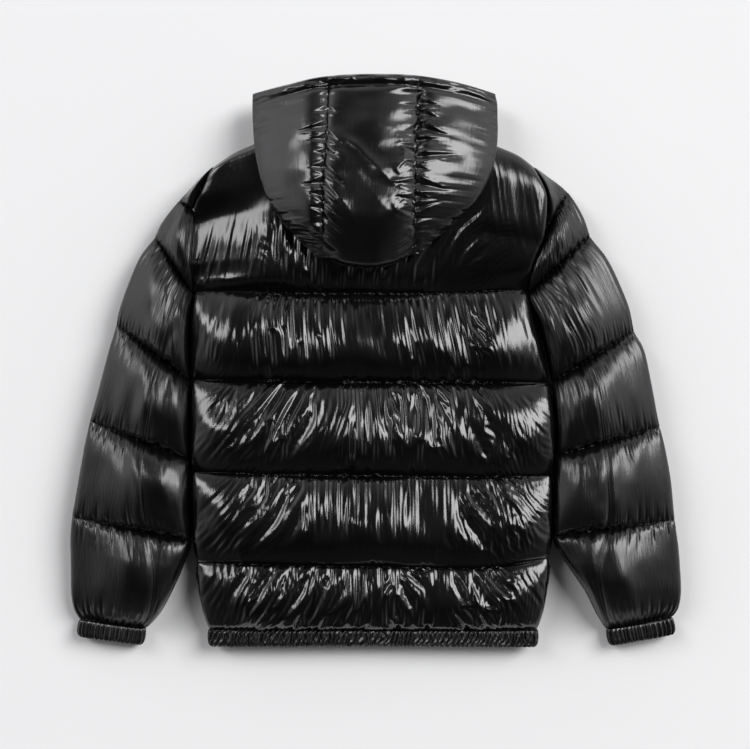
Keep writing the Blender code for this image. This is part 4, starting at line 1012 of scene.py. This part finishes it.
def build_hood_piece(name, node, part, outline, seed, material, rim, cavity):
    rng = np.random.default_rng(seed)
    body_rows, cols = 186, {"left": 66, "centre": 66, "right": 66}[part]
    q = np.linspace(0, 1, 3001)
    v = even(q * 245, 50 * rounding(245 * (1 - q), HOOD_ROUND), body_rows)
    if part == "centre":
        u = np.linspace(0, 1, cols + 1)
        u = u - 0.035 * np.sin(2 * np.pi * u)
    else:
        u = even(q * 98, 40 * rounding(98 * q, HOOD_ROUND), cols)
        if part == "right":
            u = 1 - u[::-1]
    rows = CHANNEL_ROWS + body_rows
    m = np.concatenate([np.linspace(0, CHANNEL, CHANNEL_ROWS + 1)[:-1], np.full(body_rows + 1, CHANNEL)])[:, None]
    v = np.concatenate([np.zeros(CHANNEL_ROWS), v])[:, None]
    U = u[None] + 0 * v
    y = 399.0 + (150.0 - 399.0) * v + 0 * U
    x = 0 * y
    for _ in range(14):
        le, ls, rs, re = (curve(HOOD_PLAN, y, c) for c in (1, 2, 3, 4))
        a, b = {"left": (le, ls - GAP / 2), "centre": (ls + GAP / 2, rs - GAP / 2), "right": (rs + GAP / 2, re)}[part]
        x = a + (b - a) * U
        mouth, low_y = curve(HOOD_ENDS, x, 1) - 2.0, curve(HOOD_ENDS, x, 2)
        y = mouth - m + (low_y - mouth + CHANNEL) * v
    in_mouth = mouth - y
    d = distance_in(x, y, outline)
    crown, equator = curve(HOOD_CROWN, y, 1), curve(HOOD_CROWN, y, 2)
    equator = equator - 7.0 * np.clip(x / 120.0, 0, 1)
    seam = np.minimum(np.abs(x - ls), np.abs(x - rs))
    uneven = 1 + 0.02 * noise(x.shape, (7, 3), rng, 2)
    full = hood_full(x, y)
    top = equator + np.maximum(0.6, (crown - equator) * full * uneven)
    top -= (7.0 * np.exp(-seam / 6.5) * full * step(in_mouth, 2, 20)) * (top > equator + 8)
    # the channel round the mouth: a roll with a sewn line under it
    top -= 8.0 * (1 - rounding(in_mouth, 8.0)) * full
    top -= (3.2 + 0.8 * noise(x.shape, (2, 9), rng, 2)) * np.exp(-((in_mouth - CHANNEL) / 3.0) ** 2) * full
    top += 1.1 * noise(x.shape, (40, 9), rng, 2) * step(in_mouth, 1, 5) * (1 - step(in_mouth, 9, 15)) * full
    top = np.maximum(top, equator + 0.6)
    floor = np.where(y > lin(SHOULDER, x) + 2.0, MID + 0.9, back_height(x, y) + 4.0)
    low = equator - np.maximum(0.6, (equator - floor) * rounding(d, 22.0))
    P, inner = np.stack([x, y, top], -1), np.stack([x, y, low], -1)
    pin = np.ones(x.shape, np.float32)
    pin[0] = pin[CHANNEL_ROWS] = pin[-1] = 0
    pin[:, 0] = pin[:, -1] = 0
    E, phi = hood_spare(part, x, y, U, seam, d, in_mouth, rng)
    P[..., 2] += hood_creases(x, y, ls, rs, part) * full * step(in_mouth, CHANNEL - 2, CHANNEL + 10)
    X = crinkle(P * MM, pin, E, phi, rng, stiff=1 + 3 * np.exp(-seam / 10.0), coarse=0.9, iters=(110, 130),
                cells=((40, 9), (110, 12)), start=(0.9, 0.3), pad=(0.004, 0.008))
    line = X[CHANNEL_ROWS, 1:-1].astype(float) / MM
    stitch_line("thread_hood", line, np.array((0, 0.3, 1.0)), rng, lift=0.35)
    obj = closed(name, X, inner * MM, 6, cloth_uv(P * MM))
    cut = obj.modifiers.new("cavity", "BOOLEAN")
    cut.operation, cut.solver, cut.object = "DIFFERENCE", "EXACT", cavity
    bpy.context.view_layer.update()
    result = bpy.data.meshes.new_from_object(obj.evaluated_get(bpy.context.evaluated_depsgraph_get()))
    obj.modifiers.clear()
    obj.data = result
    result.name = name
    result.shade_smooth()
    result.set_sharp_from_angle(angle=math.radians(60))
    result.materials.clear()
    placed = place(obj, node, material)
    placed.data.materials.append(rim)
    for face in placed.data.polygons:
        if face.normal.y > 0.85 and face.center.y > 0.372:
            face.material_index = 1
    return placed


def hood_creases(x, y, ls, rs, part):
    """Puckers off the seams and soft folds, placed one by one; height over the smooth pillow."""
    z = np.zeros(x.shape)
    for seam, side, at, reach, wide, depth, slant in HOOD_PUCKERS:
        line = rs if seam else ls
        if seam and side > 0:
            reach, depth = 1.2 * reach, 1.4 * depth
        along = (x - line) * side
        across = (y - at) - slant * along
        left = np.clip(1 - along / reach, 0, 1)
        a = np.abs(across) / (0.6 + 0.62 * wide * left)
        shape = np.where(a < 1, a - 1, 0.45 * np.clip(1 - np.abs(a - 1.5) / 0.5, 0, 1))
        z += np.where(along > 0, depth * left ** 0.7 * shape * np.clip(along / 1.5, 0, 1), 0)
    # the cloth falls towards the upper half of the right seam
    off, reach = (rs - x, 29.0) if part == "centre" else (x - rs, 9.0)
    dip = 7.0 * step(y, 268, 300) * (1 - 0.5 * step(y, 366, 386)) * (1 + 0.03 * np.sin(y / 8.0) + 0.03 * np.sin(y / 3.1 + 1.0))
    z -= np.where((off >= 0) & (part != "left"), dip * np.exp(-(np.maximum(off, 0) / reach) ** 1.5), 0)
    if part == "centre":
        for points, high, half in HOOD_FOLDS:
            d = distance_in(x, y, points)
            ends = np.clip(np.minimum(np.hypot(x - points[0][0], y - points[0][1]),
                                      np.hypot(x - points[-1][0], y - points[-1][1])) / 14.0, 0, 1)
            z += high * np.exp(-(d / half) ** 1.4) * (0.25 + 0.75 * ends)
    return z


def hood_spare(part, x, y, U, seam, d, in_mouth, rng):
    """Spare cloth of a hood piece: its share and its direction (a quarter turn is along the seams)."""
    patch = np.clip(0.75 + 0.5 * noise(x.shape, (6, 3), rng, 2), 0.03, 1.8)
    base = {"left": 0.004, "centre": 0.006, "right": 0.010}[part]
    E = (base + 0.022 * np.exp(-seam / 9.0) + 0.02 * np.exp(-d / 18.0)) * patch
    E = np.where(in_mouth < CHANNEL, 0.03, E)
    phi = np.pi / 2 + 0.35 * noise(x.shape, (6, 3), rng, 1)
    return E, phi


def build_cavity():
    sections = []
    for y, x, half, low, high in (
        (165.0, -9.0, 46.0, 110.0, 111.0), (200.0, -6.0, 92.0, 107.0, 108.0), (256.0, 0.0, 124.0, 98.0, 99.0),
        (295.0, 1.0, 130.0, 86.0, 89.0), (312.0, 1.0, 134.0, 76.0, 86.0), (322.0, 1.0, 136.0, 68.0, 85.0),
        (334.0, 1.0, 138.0, 34.0, 83.0), (357.0, 1.0, 138.0, 34.0, 78.0), (399.0, 0.0, 138.0, 34.0, 70.0),
        (425.0, 0.0, 138.0, 34.0, 70.0),
    ):
        a = np.linspace(0, 2 * np.pi, 73)[:-1]
        c, s = np.cos(a), np.sin(a)
        w, h = np.copysign(np.abs(c) ** 0.5, c), np.copysign(np.abs(s) ** 0.5, s)
        sections.append(np.stack([x + half * w, y + 0 * a, (low + high) / 2 + (high - low) / 2 * h], -1))
    R = np.array(sections) * MM
    rows, cols = R.shape[:2]
    i, j = np.arange(rows - 1)[:, None] * cols, np.arange(cols)[None]
    k = (j + 1) % cols
    quads = np.stack([i + j, i + k, i + cols + k, i + cols + j], -1).reshape(-1, 4)
    verts = np.concatenate([R.reshape(-1, 3), R[0].mean(0)[None], R[-1].mean(0)[None]])
    n = rows * cols
    j, k = j[0], k[0]
    tris = np.concatenate([np.stack([k, j, 0 * j + n], -1), np.stack([n - cols + j, n - cols + k, 0 * j + n + 1], -1)])
    if signed_volume(verts, tris, quads) < 0:
        quads, tris = quads[:, ::-1], tris[:, ::-1]
    return make_object("cavity", verts, tris, quads, smooth=False)


# ================================================================ zip
def build_tape(name, side, material, metal):
    ys = np.array([386.0, 300.0, 200.0, 98.0, 30.0, -28.0, -90.0, -157.0, -220.0, -282.0, -330.0, -373.0, -396.0])
    ys = np.interp(np.linspace(0, len(ys) - 1, 109), np.arange(len(ys)), ys)
    z = lin(MID_LINE, ys) - GAP / 2
    px = np.array([0.9, 3.0, 6.0, 9.5, TAPE_REACH - 0.3])
    ripple = 0.12 * np.sin(ys / 7.0)[:, None] * (px / 13.0)[None]
    outer = np.stack([side * (px[None] + 0 * z[:, None]), ys[:, None] + 0 * px[None], (z - 1.15)[:, None] + ripple], -1)
    inner = np.stack([side * (px[None] + 0 * z[:, None]), ys[:, None] + 0 * px[None], (z - 0.45)[:, None] + ripple], -1)
    uv = np.stack([px[None] * MM + 0 * z[:, None], -ys[:, None] * MM + 0 * px[None]], -1)
    tape = place(closed(name, outer * MM, inner * MM, 1, uv), name, material)
    verts, quads = [], []
    pitch = 2.5
    for n in range(int((383.0 + 393.0) / pitch)):
        y = 383.0 - pitch * n - (0 if side < 0 else pitch / 2)
        if abs(y - 366.0) < 8.5:
            continue
        zc = float(lin(MID_LINE, y)) - GAP / 2 - 2.2
        base = len(verts)
        for dz in (-1.2, 1.1):
            for dx, dy in ((0.25, -0.55), (1.4, -0.8), (3.4, -0.6), (3.4, 0.6), (1.4, 0.8), (0.25, 0.55)):
                verts.append((side * dx * MM, (y + dy) * MM, (zc + dz) * MM))
        for k in range(6):
            j = (k + 1) % 6
            quads.append((base + k, base + j, base + 6 + j, base + 6 + k))
        quads.append((base + 3, base + 2, base + 1, base))
        quads.append((base + 5, base + 4, base + 3, base))
        quads.append((base + 6, base + 7, base + 8, base + 9))
        quads.append((base + 6, base + 9, base + 10, base + 11))
    if signed_volume(verts, [], quads) < 0:
        quads = [qd[::-1] for qd in quads]
    teeth = make_object(name.replace("tape", "teeth"), verts, [], quads, smooth=False)
    teeth.data.materials.append(metal)
    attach(teeth, "jacket")
    return tape


# ================================================================ materials
def nodes_of(name):
    material = bpy.data.materials.new(name)
    material.use_nodes = True
    tree = material.node_tree
    return material, tree, tree.nodes["Principled BSDF"]


def add(tree, kind, **values):
    node = tree.nodes.new(kind)
    for key, value in values.items():
        setattr(node, key, value)
    return node


def mapped(tree, scale, turn=0.0, source="UV"):
    coords = add(tree, "ShaderNodeTexCoord")
    mapping = add(tree, "ShaderNodeMapping")
    mapping.inputs["Scale"].default_value = scale
    mapping.inputs["Rotation"].default_value = (0, 0, turn)
    tree.links.new(coords.outputs[source], mapping.inputs["Vector"])
    return mapping.outputs["Vector"]


def noise_node(tree, vector, scale, detail=2.0, roughness=0.5, distortion=0.0):
    node = add(tree, "ShaderNodeTexNoise")
    node.inputs["Scale"].default_value = scale
    node.inputs["Detail"].default_value = detail
    node.inputs["Roughness"].default_value = roughness
    node.inputs["Distortion"].default_value = distortion
    tree.links.new(vector, node.inputs["Vector"])
    return node.outputs["Fac"]


def ranged(tree, value, lo, hi, to_lo, to_hi):
    node = add(tree, "ShaderNodeMapRange")
    for key, v in (("From Min", lo), ("From Max", hi), ("To Min", to_lo), ("To Max", to_hi)):
        node.inputs[key].default_value = v
    tree.links.new(value, node.inputs["Value"])
    return node.outputs["Result"]


def nylon(name, rough=(0.13, 0.20), coat=0.25, creased=0.35, coat_rough=0.09, source="UV", drawn=(1, 0.16, 1)):
    """Glossy down-proof nylon: nearly black, with fine pulled creases and a very fine weave."""
    material, tree, shader = nodes_of(name)
    link = tree.links.new
    tone = noise_node(tree, mapped(tree, (1, 1, 1), source="Object"), 9.0, 3.0)
    ramp = add(tree, "ShaderNodeValToRGB")
    ramp.color_ramp.elements[0].position, ramp.color_ramp.elements[1].position = 0.3, 0.75
    ramp.color_ramp.elements[0].color = (0.0015, 0.0015, 0.0017, 1)
    ramp.color_ramp.elements[1].color = (0.0038, 0.0038, 0.0041, 1)
    link(tone, ramp.inputs["Fac"])
    link(ramp.outputs["Color"], shader.inputs["Base Color"])
    patches = noise_node(tree, mapped(tree, (1, 1, 1), source="Object"), 26.0, 3.0)
    link(ranged(tree, patches, 0.3, 0.7, *rough), shader.inputs["Roughness"])
    shader.inputs["IOR"].default_value = 1.5
    shader.inputs["Specular IOR Level"].default_value = 0.5
    shader.inputs["Coat Weight"].default_value = coat
    shader.inputs["Coat Roughness"].default_value = coat_rough
    # creases run down the columns of the cloth
    crease = noise_node(tree, mapped(tree, drawn, source=source), 300.0, 2.0, 0.5, 0.35)
    small = noise_node(tree, mapped(tree, (1, 0.3, 1), turn=0.5, source=source), 520.0, 2.0, 0.55, 0.2)
    weave = add(tree, "ShaderNodeTexWave", wave_type="BANDS", bands_direction="DIAGONAL")
    weave.inputs["Scale"].default_value = 900.0
    weave.inputs["Distortion"].default_value = 0.4
    link(mapped(tree, (1, 1, 1)), weave.inputs["Vector"])
    last = None
    for source, distance, strength in ((crease, 0.00075, 0.6 * creased), (small, 0.0003, 0.45 * creased), (weave.outputs["Fac"], 0.00002, 0.25)):
        bump = add(tree, "ShaderNodeBump")
        bump.inputs["Distance"].default_value = distance
        bump.inputs["Strength"].default_value = strength
        link(source, bump.inputs["Height"])
        if last:
            link(last, bump.inputs["Normal"])
        last = bump.outputs["Normal"]
    link(last, shader.inputs["Normal"])
    link(last, shader.inputs["Coat Normal"])
    return material


def elastic(name):
    material, tree, shader = nodes_of(name)
    link = tree.links.new
    tone = noise_node(tree, mapped(tree, (1, 1, 1), source="Object"), 60.0, 3.0)
    ramp = add(tree, "ShaderNodeValToRGB")
    ramp.color_ramp.elements[0].color = (0.002, 0.002, 0.0022, 1)
    ramp.color_ramp.elements[1].color = (0.005, 0.005, 0.0054, 1)
    link(tone, ramp.inputs["Fac"])
    link(ramp.outputs["Color"], shader.inputs["Base Color"])
    link(ranged(tree, tone, 0.3, 0.7, 0.18, 0.30), shader.inputs["Roughness"])
    shader.inputs["Coat Weight"].default_value = 0.2
    shader.inputs["Coat Roughness"].default_value = 0.15
    crease = noise_node(tree, mapped(tree, (1, 0.25, 1)), 700.0, 2.0, 0.5, 0.3)
    bump = add(tree, "ShaderNodeBump")
    bump.inputs["Distance"].default_value = 0.0005
    bump.inputs["Strength"].default_value = 0.5
    link(crease, bump.inputs["Height"])
    link(bump.outputs["Normal"], shader.inputs["Normal"])
    link(bump.outputs["Normal"], shader.inputs["Coat Normal"])
    return material


def tape_cloth(name):
    material, tree, shader = nodes_of(name)
    link = tree.links.new
    wave_tex = add(tree, "ShaderNodeTexWave", wave_type="BANDS", bands_direction="Y")
    wave_tex.inputs["Scale"].default_value = 500.0
    wave_tex.inputs["Distortion"].default_value = 1.5
    link(mapped(tree, (1, 1, 1)), wave_tex.inputs["Vector"])
    ramp = add(tree, "ShaderNodeValToRGB")
    ramp.color_ramp.elements[0].color = (0.008, 0.008, 0.0085, 1)
    ramp.color_ramp.elements[1].color = (0.024, 0.024, 0.025, 1)
    link(wave_tex.outputs["Fac"], ramp.inputs["Fac"])
    link(ramp.outputs["Color"], shader.inputs["Base Color"])
    shader.inputs["Roughness"].default_value = 0.75
    bump = add(tree, "ShaderNodeBump")
    bump.inputs["Distance"].default_value = 0.0002
    link(wave_tex.outputs["Fac"], bump.inputs["Height"])
    link(bump.outputs["Normal"], shader.inputs["Normal"])
    return material


def thread_cloth(name):
    material, tree, shader = nodes_of(name)
    link = tree.links.new
    tone = noise_node(tree, mapped(tree, (1, 1, 1), source="Object"), 900.0, 2.0)
    ramp = add(tree, "ShaderNodeValToRGB")
    ramp.color_ramp.elements[0].color = (0.012, 0.012, 0.0125, 1)
    ramp.color_ramp.elements[1].color = (0.035, 0.035, 0.036, 1)
    link(tone, ramp.inputs["Fac"])
    link(ramp.outputs["Color"], shader.inputs["Base Color"])
    shader.inputs["Roughness"].default_value = 0.55
    return material


def enamel(name):
    material, tree, shader = nodes_of(name)
    link = tree.links.new
    tone = noise_node(tree, mapped(tree, (1, 1, 1), source="Object"), 400.0, 3.0)
    ramp = add(tree, "ShaderNodeValToRGB")
    ramp.color_ramp.elements[0].color = (0.03, 0.03, 0.032, 1)
    ramp.color_ramp.elements[1].color = (0.07, 0.07, 0.074, 1)
    link(tone, ramp.inputs["Fac"])
    link(ramp.outputs["Color"], shader.inputs["Base Color"])
    link(ranged(tree, tone, 0.3, 0.7, 0.25, 0.42), shader.inputs["Roughness"])
    shader.inputs["Metallic"].default_value = 1.0
    bump = add(tree, "ShaderNodeBump")
    bump.inputs["Distance"].default_value = 0.0001
    bump.inputs["Strength"].default_value = 0.3
    link(tone, bump.inputs["Height"])
    link(bump.outputs["Normal"], shader.inputs["Normal"])
    return material


# ================================================================ the piece list
def build_jacket():
    shell, rib = nylon("shell_nylon"), elastic("elastic_rib_cloth")
    smooth_shell = nylon("shell_nylon_smooth", rough=(0.17, 0.25), creased=0.35, coat_rough=0.13)
    satin_shell = nylon("shell_nylon_satin", rough=(0.27, 0.34), coat=0.14, creased=0.7, coat_rough=0.20)
    rim = nylon("shell_nylon_rim", rough=(0.20, 0.30), creased=1.6, source="Object", drawn=(1, 1, 0.3))
    tape, thread, metal = tape_cloth("zip_tape_cloth"), thread_cloth("thread"), enamel("zip_enamel")
    build_back(shell)
    build_front("front_left", -1, shell)
    build_front("front_right", 1, shell)
    build_collar("collar_left", -1, shell)
    build_collar("collar_right", 1, shell)
    for side, table, seed in (("left", SLEEVE_LEFT, 61), ("right", SLEEVE_RIGHT, 71)):
        build_sleeve(f"sleeve_{side}_top", f"sleeve_{side}_top", table, True, seed, satin_shell)
        build_sleeve(f"sleeve_{side}_under", f"sleeve_{side}_under", table, False, seed + 1, satin_shell)
        cuff = build_cuff(f"cuff_{side}", f"cuff_{side}", table, seed + 2, rib)
    build_hem(rib)
    outline, cavity = hood_outline(), build_cavity()
    for part, node, seed in (("left", "hood_side_left", 81), ("centre", "hood_center", 82), ("right", "hood_side_right", 83)):
        build_hood_piece(node, node, part, outline, seed, smooth_shell, rim, cavity)
    bpy.data.objects.remove(cavity)
    build_tape("zip_tape_left", -1, tape, metal)
    build_tape("zip_tape_right", 1, tape, metal)
    for name in sorted(THREADS):
        obj = build_threads(name, thread)
        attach(obj, "jacket")
    for obj in bpy.context.scene.objects:
        if obj.name.endswith(".001"):
            obj.name = obj.name[:-4] + "_cloth"
    for node in ("zip_slider", "zip_pull"):
        obj = frame["nodes"][node]
        obj.data.materials.clear()
        obj.data.materials.append(metal)


# ================================================================ floor, light, camera
def softbox(name, towards, distance, wide, high, radiance):
    """A soft light far off, given by its direction, its angles in degrees as seen from the jacket, and its radiance."""
    width, height = (2 * distance * math.tan(math.radians(a / 2)) for a in (wide, high))
    light = bpy.data.lights.new(name, "AREA")
    light.shape, light.size, light.size_y = "RECTANGLE", width, height
    light.energy = radiance * math.pi * width * height
    obj = bpy.data.objects.new(name, light)
    bpy.context.scene.collection.objects.link(obj)
    obj.location = Vector(towards).normalized() * distance
    obj.rotation_euler = (-obj.location).to_track_quat("-Z", "Y").to_euler()
    return obj


def build_stage():
    mesh = bpy.data.meshes.new("floor")
    mesh.from_pydata([(-6, -6, 0), (6, -6, 0), (6, 6, 0), (-6, 6, 0)], [], [(0, 1, 2, 3)])
    floor = bpy.data.objects.new("floor", mesh)
    bpy.context.scene.collection.objects.link(floor)
    material, tree, shader = nodes_of("floor_paper")
    tone = noise_node(tree, mapped(tree, (1, 1, 1), source="Object"), 3.0, 2.0)
    ramp = add(tree, "ShaderNodeValToRGB")
    ramp.color_ramp.elements[0].color = (0.84, 0.84, 0.845, 1)
    ramp.color_ramp.elements[1].color = (0.86, 0.86, 0.865, 1)
    tree.links.new(tone, ramp.inputs["Fac"])
    tree.links.new(ramp.outputs["Color"], shader.inputs["Base Color"])
    shader.inputs["Roughness"].default_value = 0.9
    shader.inputs["Specular IOR Level"].default_value = 0.1
    mesh.materials.append(material)


# the studio's light by height and by direction, level at each stop
SKY_UP = ((0.0, 1.4), (0.35, 1.4), (0.62, 0.62), (0.80, 0.15), (1.0, 0.15))
SKY_ACROSS = ((0.0, 0.06), (0.30, 0.20), (0.50, 0.75), (0.70, 1.0), (1.0, 0.9))
SKY_ALONG = ((0.0, 1.1), (0.5, 0.5), (1.0, 1.0))
# name, direction, degrees wide and high, radiance
LIGHTS = (
    ("key_right", (0.56, 0.36, 0.74), 22, 38, 9.8),
    ("key_left", (-0.56, 0.40, 0.72), 12, 34, 7.5),
)


def build_light(sky_up, sky_across, sky_along, lights):
    world = bpy.data.worlds.new("studio")
    bpy.context.scene.world = world
    world.use_nodes = True
    tree = world.node_tree
    back = tree.nodes["Background"]
    coords = add(tree, "ShaderNodeTexCoord")
    split = add(tree, "ShaderNodeSeparateXYZ")
    tree.links.new(coords.outputs["Generated"], split.inputs[0])
    level = []
    for axis, stops in (("Z", sky_up), ("Y", sky_across), ("X", sky_along)):
        ramp = add(tree, "ShaderNodeValToRGB")
        for _ in stops[1:-1]:
            ramp.color_ramp.elements.new(0.5)
        for element, (at, value) in zip(ramp.color_ramp.elements, stops):
            element.position, element.color = at, (value, value, value * 1.01, 1)
        source = split.outputs[axis]
        if axis != "Z":
            source = ranged(tree, source, -1.0, 1.0, 0.0, 1.0)
        tree.links.new(source, ramp.inputs["Fac"])
        level.append(ramp.outputs["Color"])
    for other in level[1:]:
        both = add(tree, "ShaderNodeMixRGB", blend_type="MULTIPLY")
        both.inputs["Fac"].default_value = 1.0
        tree.links.new(level[0], both.inputs["Color1"])
        tree.links.new(other, both.inputs["Color2"])
        level[0] = both.outputs["Color"]
    tree.links.new(level[0], back.inputs["Color"])

    for name, towards, wide, high, radiance in lights:
        softbox(name, towards, 20.0, wide, high, radiance)


def build_camera():
    camera = bpy.data.cameras.new("camera")
    camera.lens, camera.sensor_width = 100.0, 36.0
    camera.clip_end = 60.0
    obj = bpy.data.objects.new("camera", camera)
    bpy.context.scene.collection.objects.link(obj)
    obj.location = (0.0007, -0.0165, 2.955)
    bpy.context.scene.camera = obj
    bpy.context.scene.view_settings.view_transform = "Standard"


build_jacket()
build_stage()
build_light(SKY_UP, SKY_ACROSS, SKY_ALONG, LIGHTS)
build_camera()
